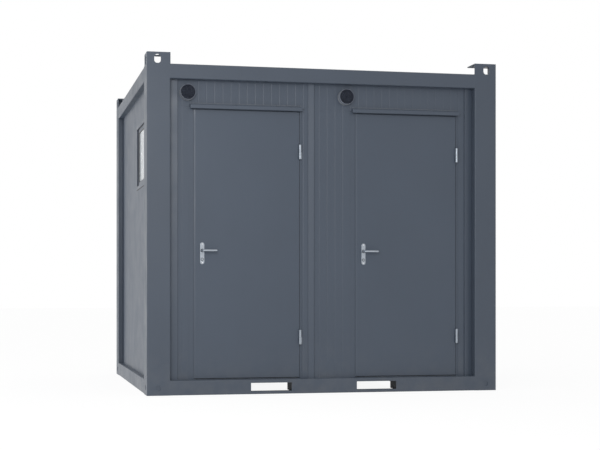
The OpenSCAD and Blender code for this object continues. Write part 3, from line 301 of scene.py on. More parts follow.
def fan_duct_with_painted_highlight(name, centres, inner_radius):
    """Black plastic inside the ducts, and on their rims and collars a pale colour that paints the highlight
    where light catches them.
    """
    material, tree, shader = new_material(name)
    place = split_coordinates(tree)
    distances = []
    for x, z in centres:
        dx = math_node(tree, "SUBTRACT", place["X"], x)
        dz = math_node(tree, "SUBTRACT", place["Z"], z)
        squares = [math_node(tree, "MULTIPLY", d, d) for d in (dx, dz)]
        distances.append(math_node(tree, "SQRT", math_node(tree, "ADD", *squares), 0.0))
    outside = math_node(tree, "GREATER_THAN", math_node(tree, "MINIMUM", *distances), inner_radius)
    varied = clouds(tree, 30.0, 4.0)
    black = mix_colour(tree, varied, shade(BLACK_PLASTIC, 0.85), shade(BLACK_PLASTIC, 1.15))
    # Pale colour that paints the highlight on the rims
    rim_highlight = mix_colour(tree, varied, shade(RIM_PAINTED_HIGHLIGHT, 0.97), shade(RIM_PAINTED_HIGHLIGHT, 1.03))
    link(tree, mix_colour(tree, outside, black, rim_highlight), shader.inputs["Base Color"])
    link(tree, ramp(tree, varied, 0.0, 1.0, 0.44, 0.56), shader.inputs["Roughness"])
    link(tree, bump(tree, noise(tree, 700.0, 2.0), 0.0003, 0.5), shader.inputs["Normal"])
    return material


def fan_centres():
    """Axis of each fan, as (x, z) in metres."""
    low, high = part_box("fan_housings")
    middle = (low[2] + high[2]) / 2
    return [(low[0] + FLANGE_R, middle), (high[0] - FLANGE_R, middle)]


frame_paint = surface("frame_paint", FRAME_PAINT, 0.44, variation=0.04, wave_depth=0.0008,
                      dust=0.14, wear=0.20, streaks=0.08)
panel_paint = wall_panel("panel_paint", PANEL_PAINT)
strip_paint = surface("strip_paint", PANEL_PAINT, 0.42, variation=0.03, wear=0.15)
door_paint = surface("door_paint", DOOR_PAINT, 0.42, variation=0.03, wave_depth=0.0015,
                     dust=0.08, wear=0.14, streaks=0.06)
lining = surface("lining", WHITE_LINING, 0.45, variation=0.02)
galvanised = surface("galvanised", ZINC, 0.42, metallic=0.8, variation=0.14,
                     variation_scale=28.0, rough_spread=0.1)
brushed = surface("brushed", STAINLESS, 0.34, metallic=1.0, variation=0.06, variation_scale=20.0,
                  grain_scale=900.0, grain_depth=0.0001, grain_stretch=(1.0, 1.0, 0.06))
hinge_steel = surface("hinge_steel", HINGE_STEEL, 0.38, metallic=1.0, variation=0.06,
                      variation_scale=20.0, grain_scale=900.0, grain_depth=0.0001)
chrome = surface("chrome", CHROME, 0.12, metallic=1.0, variation=0.02, rough_spread=0.04,
                 grain_depth=0.00005)
fan_plastic = surface("fan_plastic", BLACK_PLASTIC, 0.55, variation=0.15, variation_scale=30.0,
                      grain_scale=900.0)
# Fan ducts: black inside, with a painted highlight on their rims
duct_black_and_painted_highlight = fan_duct_with_painted_highlight("duct_black_and_painted_highlight", fan_centres(), BLACK_LIP_R)
# Fork pockets: dark underseal that also paints the shade inside them
underseal_and_pocket_shade = surface("underseal_and_pocket_shade", UNDERSEAL_AND_SHADE, 0.70, variation=0.25, variation_scale=18.0,
                    grain_scale=260.0, grain_depth=0.0008)
seal_grey = surface("seal_grey", SEAL_GREY, 0.60, variation=0.08, variation_scale=24.0,
                    grain_scale=500.0)
rubber = surface("rubber", RUBBER, 0.65, variation=0.2, variation_scale=40.0, grain_scale=700.0)
silicone = surface("silicone", SILICONE, 0.55, variation=0.08, variation_scale=24.0,
                   grain_scale=400.0)
ceramic = surface("ceramic", CERAMIC, 0.14, variation=0.015, rough_spread=0.04, grain_scale=40.0,
                  grain_depth=0.0002, coat=0.6)
seat_plastic = surface("seat_plastic", SEAT_PLASTIC, 0.24, variation=0.02, grain_scale=80.0,
                       grain_depth=0.0001)
lamp_plastic = surface("lamp_plastic", LAMP_PLASTIC, 0.50, variation=0.02, grain_scale=600.0)
pipe_plastic = surface("pipe_plastic", PIPE_PLASTIC, 0.50, variation=0.12, variation_scale=12.0)
mirror = surface("mirror", SILVER, 0.05, metallic=1.0, variation=0.01, rough_spread=0.02,
                 grain_depth=0.00002)
glass = glazing("glass")
water = clear_water("water")
vinyl = vinyl_floor("vinyl")

node_materials = {
    "bottom_rails": frame_paint, "fork_pockets": underseal_and_pocket_shade, "floor_joists": galvanised,
    "underfloor_sheet": galvanised, "floor_deck": vinyl, "bottom_corners": frame_paint,
    "corner_posts": frame_paint, "top_corners": frame_paint, "top_rails": frame_paint,
    "roof_sheet": galvanised, "ceiling_panel": lining, "front_wall": panel_paint,
    "side_walls": panel_paint, "back_wall": panel_paint, "partition_wall": lining,
    "cover_strips": strip_paint, "door_frames": strip_paint, "hinge_pins": hinge_steel,
    "rain_ledges": strip_paint, "fan_housings": duct_black_and_painted_highlight, "window_frames": strip_paint,
    "cisterns": ceramic, "basins": ceramic, "taps": chrome, "cabin_lights": lamp_plastic,
    "mirrors": mirror, "paper_holders": chrome, "service_pipes": pipe_plastic,
}
for side in SIDES:
    node_materials.update({
        f"door_leaf_{side}": door_paint, f"hinge_arms_{side}": hinge_steel,
        f"lock_set_{side}": brushed, f"door_lever_{side}": brushed, f"latch_bolt_{side}": brushed,
        f"lock_turn_{side}": brushed, f"dead_bolt_{side}": brushed,
        f"window_sash_{side}": strip_paint, f"window_glass_{side}": glass,
        f"window_handle_{side}": lamp_plastic, f"fan_rotor_{side}": fan_plastic,
        f"toilet_bowl_{side}": ceramic, f"toilet_seat_{side}": seat_plastic,
        f"toilet_lid_{side}": seat_plastic, f"flush_button_{side}": chrome,
        f"tap_lever_{side}": chrome,
    })

for name, node in nodes.items():
    for material_slot in node.material_slots:
        material_slot.material = node_materials[name]


# Mesh code: outlines, skins and pieces, all measured in millimetres

MM = 0.001


def box_of(node):
    """Corners of a CAD node in millimetres."""
    low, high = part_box(node)
    return Vector(low) / MM, Vector(high) / MM


def turns(count):
    """Evenly spaced angles round a circle."""
    return [2 * math.pi * k / count for k in range(count)]


class Shape:
    """Vertices and faces of one piece."""

    def __init__(self):
        self.vertices = []
        self.faces = []

    def skin(self, rings, loop=False):
        """Skin over rings of the same number of points, closed at its ends or joined to itself."""
        start, count = len(self.vertices), len(rings[0])
        for ring in rings:
            self.vertices.extend(Vector(p) for p in ring)
        steps = len(rings) if loop else len(rings) - 1
        for k in range(steps):
            a, b = start + k * count, start + (k + 1) % len(rings) * count
            for i in range(count):
                j = (i + 1) % count
                self.faces.append((a + i, a + j, b + j, b + i))
        if not loop:
            last = start + (len(rings) - 1) * count
            self.faces.append(tuple(start + i for i in reversed(range(count))))
            self.faces.append(tuple(last + i for i in range(count)))
        return self

    def lathe(self, centre, axis, profile, sides=24):
        """Turned shape through rows of radius, distance along the axis and, at will, a form.

        The form is a function of the angle that scales the row's radius.
        """
        axis = Vector(axis).normalized()
        across = axis.orthogonal().normalized()
        beside = axis.cross(across)
        rings = []
        for row in profile:
            radius, along = row[:2]
            form = row[2] if len(row) > 2 else None
            ring = []
            for angle in turns(sides):
                r = radius * (form(angle) if form else 1.0)
                spoke = across * math.cos(angle) + beside * math.sin(angle)
                ring.append(Vector(centre) + axis * along + spoke * r)
            rings.append(ring)
        return self.skin(rings)

    def sweep(self, path, profile, place, closed=False):
        """Profile of (aside, out) points along a flat path of (a, b) points, mitred at its corners.

        place(a, b, out) gives the point in space.
        """
        points = [Vector(p) for p in path]
        count = len(points)
        rings = []
        for i, point in enumerate(points):
            before = point - points[i - 1] if closed or i > 0 else points[1] - point
            after = points[(i + 1) % count] - point if closed or i < count - 1 else point - points[i - 1]
            n1 = Vector((-before.y, before.x)).normalized()
            n2 = Vector((-after.y, after.x)).normalized()
            mitre = (n1 + n2) / (1 + n1.dot(n2))
            rings.append([place(*(point + mitre * aside), out) for aside, out in profile])
        return self.skin(rings, loop=closed)

    def tube(self, points, radii, sides=10, closed=False):
        """Round tube through points, with a radius at each."""
        points = [Vector(p) for p in points]
        count = len(points)
        rings = []
        across = None
        for i, point in enumerate(points):
            ahead = points[(i + 1) % count] if closed or i < count - 1 else point
            behind = points[i - 1] if closed or i > 0 else point
            along = (ahead - behind).normalized()
            if across is None:
                across = along.orthogonal().normalized()
            else:
                across = (across - along * across.dot(along)).normalized()
            beside = along.cross(across)
            ring = []
            for angle in turns(sides):
                spoke = across * math.cos(angle) + beside * math.sin(angle)
                ring.append(point + spoke * radii[i])
            rings.append(ring)
        return self.skin(rings, loop=closed)

    def slab(self, low, high, edge):
        """Block with bevelled edges."""
        x0, y0, z0 = low
        x1, y1, z1 = high

        def outline(inset, z):
            a, b, c, d = x0 + inset, x1 - inset, y0 + inset, y1 - inset
            return [(a + edge, c, z), (b - edge, c, z), (b, c + edge, z), (b, d - edge, z),
                    (b - edge, d, z), (a + edge, d, z), (a, d - edge, z), (a, c + edge, z)]

        return self.skin([outline(edge, z0), outline(0, z0 + edge), outline(0, z1 - edge), outline(edge, z1)])

    def weld(self, start, end, radius, seed):
        """Rippled bead between two points, thinner at its ends."""
        rng = random.Random(seed)
        start, end = Vector(start), Vector(end)
        ripple = 3.5
        steps = max(4, int((end - start).length / ripple))
        points, radii = [], []
        for i in range(steps + 1):
            t = i / steps
            wander = Vector((rng.uniform(-1, 1), rng.uniform(-1, 1), rng.uniform(-1, 1))) * radius * 0.12
            points.append(start.lerp(end, t) + wander)
            taper = 0.55 if i in (0, steps) else 1.0
            radii.append(radius * taper * (0.90 + 0.16 * (i % 2) + rng.uniform(-0.05, 0.05)))
        return self.tube(points, radii, sides=8)


def piece(name, shape, material, body="shell", crease=35):
    """Blender object of a shape, riding on a body."""
    mesh = bpy.data.meshes.new(name)
    mesh.from_pydata([v * MM for v in shape.vertices], [], shape.faces)
    mesh.validate()
    facing_out = bmesh.new()
    facing_out.from_mesh(mesh)
    bmesh.ops.recalc_face_normals(facing_out, faces=facing_out.faces)
    facing_out.to_mesh(mesh)
    facing_out.free()
    mesh.materials.append(material)
    mesh.shade_smooth()
    mesh.set_sharp_from_angle(angle=math.radians(crease))
    made = bpy.data.objects.new(name, mesh)
    bpy.context.scene.collection.objects.link(made)
    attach(made, body)


# Forms of lathe rows, and fasteners

def hexagon(angle):
    """Radius of a hexagon against its widest, at an angle."""
    return math.cos(math.pi / 6) / math.cos((angle % (math.pi / 3)) - math.pi / 6)


def cross_slot(angle):
    """Radius of a cross recess against its widest, at an angle."""
    return 0.42 + 0.58 * abs(math.cos(2 * angle)) ** 3


def knurl(angle):
    """Radius of a knurled nut against its mean, at an angle."""
    return 1.0 + 0.03 * math.cos(16 * angle)


def knurled_nut(radius):
    """Lathe rows of a knurled nut."""
    return [(radius - 3, 0), (radius, 1.5, knurl), (radius, 12, knurl), (radius - 3, 13.5)]


def screw(shape, centre, axis, radius, height):
    """Round screw head with a cross recess."""
    shape.lathe(centre, axis, [
        (radius, -1.0), (radius, height * 0.25), (radius * 0.94, height * 0.6),
        (radius * 0.74, height * 0.92), (radius * 0.58, height),
        (radius * 0.5, height, cross_slot), (radius * 0.42, height * 0.35, cross_slot),
    ], sides=32)


def rivet(shape, centre, axis, radius, height):
    """Blind rivet head with its sunken middle."""
    shape.lathe(centre, axis, [
        (radius, -0.6), (radius, height * 0.3), (radius * 0.8, height * 0.8), (radius * 0.5, height),
        (radius * 0.3, height), (radius * 0.26, height * 0.5),
    ], sides=16)


def hex_bolt(shape, centre, axis, radius, height):
    """Hexagon head on its washer."""
    shape.lathe(centre, axis, [
        (radius * 1.5, -0.6), (radius * 1.55, height * 0.12), (radius * 1.3, height * 0.3),
        (radius, height * 0.3, hexagon), (radius, height * 0.88, hexagon),
        (radius * 0.86, height, hexagon),
    ], sides=24)


# Sizes of the CAD in millimetres that the pieces below are fitted to

HALF_W, HALF_D = 1495.0, 1217.5
WALL_X, WALL_Y = 1445.0, 1151.5
ROOM = Vector((1369.0, 1091.5))
POST_W = 192.0
BOX_T = 8.0
LUG_D = 155.0
FRONT = -WALL_Y
BASE_Z, FLOOR_Z = 120.0, 126.0
RAIL_LOW, RAIL_TOP, LUG_TOP = 2561.0, 2679.0, 2770.0
CEILING_Z, ROOF_Z = 2565.0, 2638.0
LEAF_GAP, LIP_W, STOP_W = 4.0, 16.0, 15.0
LEDGE_LEFT, LEDGE_RIGHT = 33.0, 20.0
HINGE_IN, HINGE_HALF, BARREL_R = 330.0, 59.0, 12.0
LEVER_Z, TURN_Z, BACKSET = 1174.0, 1102.0, 68.0
NECK_R, PLUG_R = 9.0, 8.0
PLATE_MID, PLATE_HALF, PLATE_T = 1151.0, 88.5, 6.0
CASE_MID = 1141.5
DUCT_OUT_R = 61.5
THRESHOLD_Z = 124.0
JAMB_SET = 3.0
PARTITION_HALF = 30.0
DIVIDER_X = -114.0
CABIN_X = {"left": -756.5, "right": 642.5}
RIM_Z, BOWL_MID = 526.0, 400.0
CISTERN_HALF = 190.0
BASIN_Z, BASIN_Y = 976.0, -271.5
WASTE_Z, WATER_Z, WATER_U, WATER_V = 311.0, 806.0, 225.0, 70.0
HOLDER_Z, HOLDER_V = 876.0, 660.0
OUT_OF_FRONT = Vector((0, -1, 0))


def front_place(y):
    """Places (x, z, out) on an upright plane at y, out towards the front."""
    return lambda x, z, out: Vector((x, y - out, z))


def floor_place(z):
    """Places (x, y, out) on a level plane at z."""
    return lambda x, y, out: Vector((x, y, z + out))


def side_place(sign, x):
    """Places (y, z, out) on an upright plane at sign * x, out away from the room."""
    return lambda y, z, out: Vector((sign * (x + out), y, z))


# Doors: seals, hinges, lock, strike plate and threshold

def door_rebate(low, high):
    """Left edge, right edge and top of the frame's opening round a leaf."""
    return low.x + LIP_W - LEAF_GAP, high.x + LEAF_GAP, high.z + LEAF_GAP


def stop_seal(side, low, high):
    """Bulb seal on the frame's stop, behind the leaf."""
    left, right, top = door_rebate(low, high)
    inset, stop_gap = 6, 2
    ring = [(left + inset, THRESHOLD_Z), (left + inset, top - inset),
            (right - inset, top - inset), (right - inset, THRESHOLD_Z)]
    bulb = [(-4, -0.6), (4, -0.6), (4, 0.5), (2.4, 1.3), (0, 1.6), (-2.4, 1.3), (-4, 0.5)]
    piece(f"stop_seal_{side}", Shape().sweep(ring, bulb, front_place(high.y + stop_gap)), rubber)


def lip_seal(side, low, high):
    """Flat seal on the frame under the leaf's lip."""
    flat = [(-10, -0.5), (-1.5, -0.5), (-1.2, 0.8), (-2.0, 1.5), (-9, 1.6)]
    line = [(low.x, THRESHOLD_Z), (low.x, high.z + 1)]
    piece(f"lip_seal_{side}", Shape().sweep(line, flat, front_place(FRONT + JAMB_SET)), seal_grey)


def gap_seal(side, low, high):
    """Soft tubes in the gap above the leaf and on its hinge side."""
    radius, setback, corner = 1.9, 5, 6
    middle, y = LEAF_GAP / 2, low.y + setback
    left = door_rebate(low, high)[0] + LIP_W
    above = [(left, y, high.z + middle), (high.x - corner, y, high.z + middle)]
    beside = [(high.x + middle, y, high.z - corner), (high.x + middle, y, THRESHOLD_Z + 2)]
    seal = Shape()
    for line in (above, beside):
        seal.tube(line, [radius, radius], sides=12)
    piece(f"gap_seal_{side}", seal, seal_grey)


def drop_seal_and_shade(side, low, high):
    """Black rubber seal under the leaf, in its carrier, which also paints the shadow in the gap under the
    leaf.
    """
    y = low.y + 6
    x0, x1 = low.x + LIP_W + 2, high.x - 3
    seal = Shape()
    for y0, y1, z0, z1 in ((0, 12, -3.0, 0.5), (1.5, 10.5, -5.6, -2.6)):
        seal.slab((x0, y + y0, low.z + z0), (x1, y + y1, low.z + z1), 0.5)
    # Black seal that also paints the shadow under the leaf
    piece(f"drop_seal_and_shade_{side}", seal, rubber, f"door_{side}")


def door_hinges(side, low, high):
    """Domed caps on the leaf's barrels, feet under the frame's, and washers between them."""
    hinge = Vector((high.x + LEAF_GAP / 2, low.y - BARREL_R - 0.5, 0))
    cap = [(BARREL_R - 0.6, -1.0), (BARREL_R - 0.6, 0.2), (BARREL_R - 2.2, 1.8),
           (BARREL_R - 5.5, 3.0), (2.0, 3.5)]
    foot = [(radius - 1.4, along) for radius, along in cap]
    washer = [(BARREL_R - 1, -0.9), (BARREL_R + 0.5, -0.8), (BARREL_R + 0.5, -0.1), (BARREL_R - 1, 0.0)]
    caps, feet, washers = Shape(), Shape(), Shape()
    for z in (low.z + HINGE_IN, high.z - HINGE_IN):
        caps.lathe(hinge + Vector((0, 0, z + HINGE_HALF)), (0, 0, 1), cap)
        feet.lathe(hinge + Vector((0, 0, z - HINGE_HALF)), (0, 0, -1), foot)
        washers.lathe(hinge + Vector((0, 0, z)), (0, 0, 1), washer)
    piece(f"hinge_caps_{side}", caps, hinge_steel, f"door_{side}")
    piece(f"hinge_feet_{side}", feet, hinge_steel)
    piece(f"hinge_washers_{side}", washers, fan_plastic)


def door_lock(side, low, high):
    """Screws of the backplates and the lock front, and black rings round the neck and the cylinder that paint
    the shade where they meet the plate.
    """
    x = low.x + BACKSET
    screw_up, front_screw_up = PLATE_HALF - 13, 105
    ring_gap, ring_t, ring_steps = 2.4, 1.9, 32
    screws, rings = Shape(), Shape()
    for y, way in ((low.y - PLATE_T, -1), (high.y + PLATE_T, 1)):
        for dz in (screw_up, -screw_up):
            screw(screws, (x, y, PLATE_MID + dz), (0, way, 0), 5.2, 2.4)
        # Black rings round the neck and the cylinder: painted shade where they meet the plate
        for z, radius in ((LEVER_Z, NECK_R), (TURN_Z, PLUG_R)):
            r = radius + ring_gap
            circle = [(x + r * math.cos(a), y, z + r * math.sin(a)) for a in turns(ring_steps)]
            rings.tube(circle, [ring_t] * ring_steps, sides=10, closed=True)
    for dz in (-front_screw_up, front_screw_up):
        screw(screws, (low.x + LIP_W + 0.4, low.y + 20, CASE_MID + dz), (-1, 0, 0), 4.0, 1.0)
    piece(f"lock_screws_{side}", screws, chrome, f"door_{side}")
    piece(f"lock_shade_rings_{side}", rings, rubber, f"door_{side}")


def strike_plate(side, low, high):
    """Plate on the jamb, with holes for the latch and the bolt."""
    left = door_rebate(low, high)[0]
    x0, x1 = left - 0.4, left + 1.4
    y0, y1 = low.y + 9, low.y + 31
    reach, rail, screw_in = 45, 3, 12
    latch_hole, bolt_hole = 21.0, 26.0
    bottom, top = TURN_Z - reach, LEVER_Z + reach
    holes = [(TURN_Z, bolt_hole), (LEVER_Z, latch_hole)]
    levels = [bottom] + [z + s * h / 2 for z, h in holes for s in (-1, 1)] + [top]
    plate = Shape()
    for k in range(0, len(levels), 2):
        plate.slab((x0, y0, levels[k]), (x1, y1, levels[k + 1]), 0.3)
    for z, h in holes:
        for a, b in ((y0, y0 + rail), (y1 - rail, y1)):
            plate.slab((x0, a, z - h / 2 - 0.5), (x1, b, z + h / 2 + 0.5), 0.3)
    for z in (bottom + screw_in, top - screw_in):
        screw(plate, (x1, low.y + 20, z), (1, 0, 0), 4.0, 1.0)
    piece(f"strike_plate_{side}", plate, brushed)


def threshold_ribs(side, low, high):
    """Raised ribs along the threshold."""
    left, right = door_rebate(low, high)[:2]
    end, pitch, width = 18, 6.5, 3
    ribs = Shape()
    for k in range(7):
        y = low.y + 12 + k * pitch
        ribs.slab((left + end, y, THRESHOLD_Z - 0.5), (right - end, y + width, THRESHOLD_Z + 0.8), 0.4)
    piece(f"threshold_ribs_{side}", ribs, brushed)


for side in SIDES:
    leaf_low, leaf_high = box_of(f"door_leaf_{side}")
    for make in (stop_seal, lip_seal, gap_seal, drop_seal_and_shade, door_hinges, door_lock, strike_plate,
                 threshold_ribs):
        make(side, leaf_low, leaf_high)


# Rain ledges: rivets in the wall flange, sealant along it and the hem of the lower edge

def ledge_trim(side):
    low, high = box_of("rain_ledges")
    leaf_low, leaf_high = box_of(f"door_leaf_{side}")
    x0, x1 = leaf_low.x - LEDGE_LEFT, leaf_high.x + LEDGE_RIGHT
    count, end = 6, 40
    rivets = Shape()
    for k in range(count):
        x = x0 + end + k * (x1 - x0 - 2 * end) / (count - 1)
        rivet(rivets, (x, FRONT - 1.6, high.z - 4.5), OUT_OF_FRONT, 3.4, 1.8)
    piece(f"ledge_rivets_{side}", rivets, strip_paint)
    y, z = FRONT - 0.6, high.z + 0.4
    piece(f"ledge_sealant_{side}", Shape().weld((x0 + 2, y, z), (x1 - 2, y, z), 1.3, 11), silicone)
    y, z = low.y + 0.9, low.z + 1.0
    hem = Shape().tube([(x0 + 1, y, z), (x1 - 1, y, z)], [1.5, 1.5], sides=12)
    piece(f"ledge_hem_{side}", hem, strip_paint)


for side in SIDES:
    ledge_trim(side)


# Fans: sealant where the duct meets the wall, the rotor's cap and the screws of the inner flange

def fan_trim(side):
    x, z = fan_centres()[SIDES.index(side)]
    centre = Vector((x, 0, z)) / MM
    steps = 64
    r, y = DUCT_OUT_R + 1.2, FRONT - 0.8
    circle = [(centre.x + r * math.cos(a), y, centre.z + r * math.sin(a)) for a in turns(steps)]
    sealant = Shape().tube(circle, [2.4] * steps, sides=8, closed=True)
    piece(f"duct_sealant_{side}", sealant, silicone)

    cap = [(16, -1), (15.6, 0.8), (12, 2.4), (5, 3.4)]
    hub = (centre.x, FRONT + 10.5, centre.z)
    piece(f"rotor_cap_{side}", Shape().lathe(hub, OUT_OF_FRONT, cap, 32), fan_plastic, f"fan_{side}")

    flange_in = 68
    screws = Shape()
    r, y = DUCT_OUT_R + 6, FRONT + flange_in
    for k in range(4):
        a = math.pi / 4 + k * math.pi / 2
        screw(screws, (centre.x + r * math.cos(a), y, centre.z + r * math.sin(a)), (0, 1, 0), 3.4, 1.6)
    piece(f"duct_screws_{side}", screws, chrome)


for side in SIDES:
    fan_trim(side)


# Windows: glazing gaskets, frame gaskets, sealant on the wall and the handle's rose

def pane_loop(low, high, inset):
    """Corners (y, z) of a box seen from its side, drawn in by inset."""
    y0, y1, z0, z1 = low.y + inset, high.y - inset, low.z + inset, high.z - inset
    return [(y0, z0), (y1, z0), (y1, z1), (y0, z1)]


def near_and_far(low, high):
    """Least and greatest distance of a box from the middle plane."""
    return sorted((abs(low.x), abs(high.x)))


def window_seals(side, sign):
    low, high = box_of(f"window_glass_{side}")
    glass_in, glass_out = near_and_far(low, high)
    wedge = [(-0.8, -0.5), (-0.8, 3.5), (1.5, 4.2), (4.5, 2.2), (5.5, 0.4), (5.5, -0.5)]
    inward = [(aside, -out) for aside, out in wedge]
    pane = pane_loop(low, high, 0)
    gasket = Shape().sweep(pane, wedge, side_place(sign, glass_out), closed=True)
    gasket.sweep(pane, inward, side_place(sign, glass_in), closed=True)
    piece(f"glazing_gasket_{side}", gasket, rubber, f"sash_{side}")

    low, high = box_of("window_frames")
    sash_out = near_and_far(*box_of(f"window_sash_{side}"))[1]
    face = [(-1.5, 0.2), (-1.5, 4.0), (1.0, 4.4), (3.4, 2.6), (4.2, 0.2)]
    frame_in = 28.0
    seat = pane_loop(low, high, frame_in)
    gasket = Shape().sweep(seat, face, side_place(sign, sash_out), closed=True)
    piece(f"frame_gasket_{side}", gasket, rubber)

    bead = [(-4.5, -0.4), (-4.2, 0.9), (-2.2, 2.4), (0.8, 3.2), (0.8, -0.4)]
    edge = Shape().sweep(pane_loop(low, high, 0), bead, side_place(sign, WALL_X), closed=True)
    piece(f"window_sealant_{side}", edge, rubber)


def handle_rose(side, sign):
    """Two screwed pads beside the handle's neck, on the sash."""
    sash_low, sash_high = box_of(f"window_sash_{side}")
    handle_low, handle_high = box_of(f"window_handle_{side}")
    sash_in = near_and_far(sash_low, sash_high)[0]
    thick, half_h, near, far = 7, 15, 10, 32
    y = (sash_low.y + sash_high.y) / 2
    z = (handle_low.z + handle_high.z) / 2
    x0, x1 = sorted((sign * sash_in, sign * (sash_in - thick)))
    rose = Shape()
    for a, b in ((-far, -near), (near, far)):
        rose.slab((x0, y + a, z - half_h), (x1, y + b, z + half_h), 2.5)
    for dy in (-22, 22):
        screw(rose, (sign * (sash_in - thick), y + dy, z), (-sign, 0, 0), 3.6, 1.2)
    piece(f"handle_rose_{side}", rose, lamp_plastic, f"sash_{side}")


for side, sign in zip(SIDES, (-1, 1)):
    window_seals(side, sign)
    handle_rose(side, sign)


# Frame: weld beads in the inner corners and round the lifting corners, and the roof's screws

def frame_welds():
    post_x, post_y = HALF_W - POST_W - 0.5, HALF_D - POST_W - 0.5
    lug_x, lug_y = HALF_W - BOX_T - 1, HALF_D - BOX_T - 1
    face_in = 8
    beads = Shape()
    seed = 1
    for sx in (-1, 1):
        for sy in (-1, 1):
            for z in (BASE_Z + 1.5, RAIL_LOW - 1.5):
                seed += 2
                beads.weld((sx * post_x, sy * (HALF_D - face_in), z),
                           (sx * post_x, sy * (WALL_Y + 1), z), 2.2, seed)
                beads.weld((sx * (HALF_W - face_in), sy * post_y, z),
                           (sx * (WALL_X + 1), sy * post_y, z), 2.2, seed + 1)
            seed += 2
            corner = (sx * lug_x, sy * lug_y, RAIL_TOP + 1)
            beads.weld(corner, (sx * (HALF_W - POST_W), sy * lug_y, RAIL_TOP + 1), 2.6, seed)
            beads.weld(corner, (sx * lug_x, sy * (HALF_D - LUG_D), RAIL_TOP + 1), 2.6, seed + 1)
            beads.weld((sx * lug_x, sy * lug_y, RAIL_TOP + 4),
                       (sx * lug_x, sy * lug_y, LUG_TOP - BOX_T - 2), 2.4, seed + 3)
    piece("frame_welds", beads, frame_paint)


def roof_screws():
    """Screws along the roof sheet's edges, clear of its seams."""
    edge_in, off_seam = 82, 60
    pitch_x, pitch_y = 240.0, 260.0
    head_r, head_h = 5.0, 5.5
    screws = Shape()
    for sy in (-1, 1):
        for k in range(-5, 6):
            spot = (k * pitch_x + off_seam, sy * (HALF_D - edge_in), ROOF_Z)
            hex_bolt(screws, spot, (0, 0, 1), head_r, head_h)
    for sx in (-1, 1):
        for k in range(-3, 4):
            hex_bolt(screws, (sx * (HALF_W - edge_in), k * pitch_y, ROOF_Z), (0, 0, 1), head_r, head_h)
    piece("roof_screws", screws, galvanised)


frame_welds()
roof_screws()


# Cabins: skirting, toilet, basin, mirror, light and paper holder

def skirting(side):
    """Coved vinyl skirting from one side of the door round the cabin to the other."""
    left, right = door_rebate(*box_of(f"door_leaf_{side}"))[:2]
    x0 = -ROOM.x if side == "left" else DIVIDER_X + PARTITION_HALF
    x1 = DIVIDER_X - PARTITION_HALF if side == "left" else ROOM.x
    line = [(right - STOP_W, -ROOM.y), (x1, -ROOM.y), (x1, ROOM.y), (x0, ROOM.y), (x0, -ROOM.y),
            (left + STOP_W, -ROOM.y)]
    cove = [(-0.4, 0), (-0.4, 90), (1.2, 91), (2.2, 89), (2.4, 22), (5, 12), (11, 5), (22, 1.2), (22, 0)]
    piece(f"skirting_{side}", Shape().sweep(line, cove, floor_place(FLOOR_Z)), vinyl)


def pan_bolts(side, x):
    """Capped bolts that hold the pan's foot to the floor."""
    aside, off_wall = 104, 330
    cap = [(9, 0), (9, 3), (7, 7), (3, 9.5)]
    bolts = Shape()
    for s in (-1, 1):
        spot = (x + s * aside, ROOM.y - off_wall, FLOOR_Z + 1.5)
        bolts.lathe(spot, (0, 0, 1), cap, 20)
    piece(f"pan_bolts_{side}", bolts, chrome)


def pan_water(side, x):
    """Water standing in the pan."""
    level, y = RIM_Z - 165, ROOM.y - BOWL_MID
    half_w, ahead, behind = 71, 91, 79
    shore = []
    for a in turns(48):
        reach = ahead if math.sin(a) > 0 else behind
        shore.append((x + half_w * math.cos(a), y - reach * math.sin(a)))
    inner = [(x + (px - x) * 0.95, y + (py - y) * 0.95, level + 0.3) for px, py in shore]
    rings = [[(px, py, z) for px, py in shore] for z in (level - 3, level)]
    piece(f"pan_water_{side}", Shape().skin(rings + [inner]), water)


def supply_nuts(side, x):
    """Nuts at both ends of the cistern's supply."""
    nut = [(11, 0, hexagon), (13, 1.2, hexagon), (13, 11, hexagon), (11, 12.2, hexagon)]
    half_nut = 6
    nuts = Shape()
    for nut_x in (x + CISTERN_HALF + 7, x + WATER_U - 22):
        nuts.lathe((nut_x - half_nut, ROOM.y - WATER_V, WATER_Z), (1, 0, 0), nut, 24)
    piece(f"supply_nuts_{side}", nuts, chrome)


def pipe_roses(side, x):
    """Collars on the back wall round the water and waste pipes."""
    y = ROOM.y - 0.5
    roses = Shape().lathe((x + WATER_U, y, WATER_Z), (0, -1, 0), [(27, 0), (27, 3), (24, 6), (16, 9)], 32)
    roses.lathe((x, y, WASTE_Z), (0, -1, 0), [(68, 0), (68, 4), (64, 8), (57.5, 10)], 40)
    piece(f"pipe_roses_{side}", roses, seat_plastic)


def basin_trim(side, wall, out, seed):
    """Sealant at the wall, the waste's ring, and the trap's nuts and rose."""
    x, z = wall + out * 0.6, BASIN_Z - 2
    half_run = 206
    line = Shape().weld((x, BASIN_Y - half_run, z), (x, BASIN_Y + half_run, z), 2.6, seed)
    piece(f"basin_sealant_{side}", line, seat_plastic)

    waste = [(26, -2), (26, 1.2), (24, 2.0), (19, 1.4), (18, -0.5), (6, -0.5), (5, 1.5), (3, 1.8)]
    base = (wall + out * 102, BASIN_Y, BASIN_Z - 117)
    piece(f"basin_waste_{side}", Shape().lathe(base, (0, 0, 1), waste, 36), chrome)

    trap_z, pipe_z = BASIN_Z - 150, BASIN_Z - 240
    trap = Shape()
    for drop, radius in ((14, 22), (52, 22), (66, 34), (142, 34)):
        trap.lathe((wall + out * 90, BASIN_Y, trap_z - drop), (0, 0, 1), knurled_nut(radius), 64)
    trap.lathe((wall, BASIN_Y, pipe_z), (out, 0, 0), [(34, 0), (34, 3), (28, 8), (17, 10)], 36)
    trap.lathe((wall + out * 46, BASIN_Y, pipe_z), (out, 0, 0), knurled_nut(22), 64)
    piece(f"trap_fittings_{side}", trap, chrome)


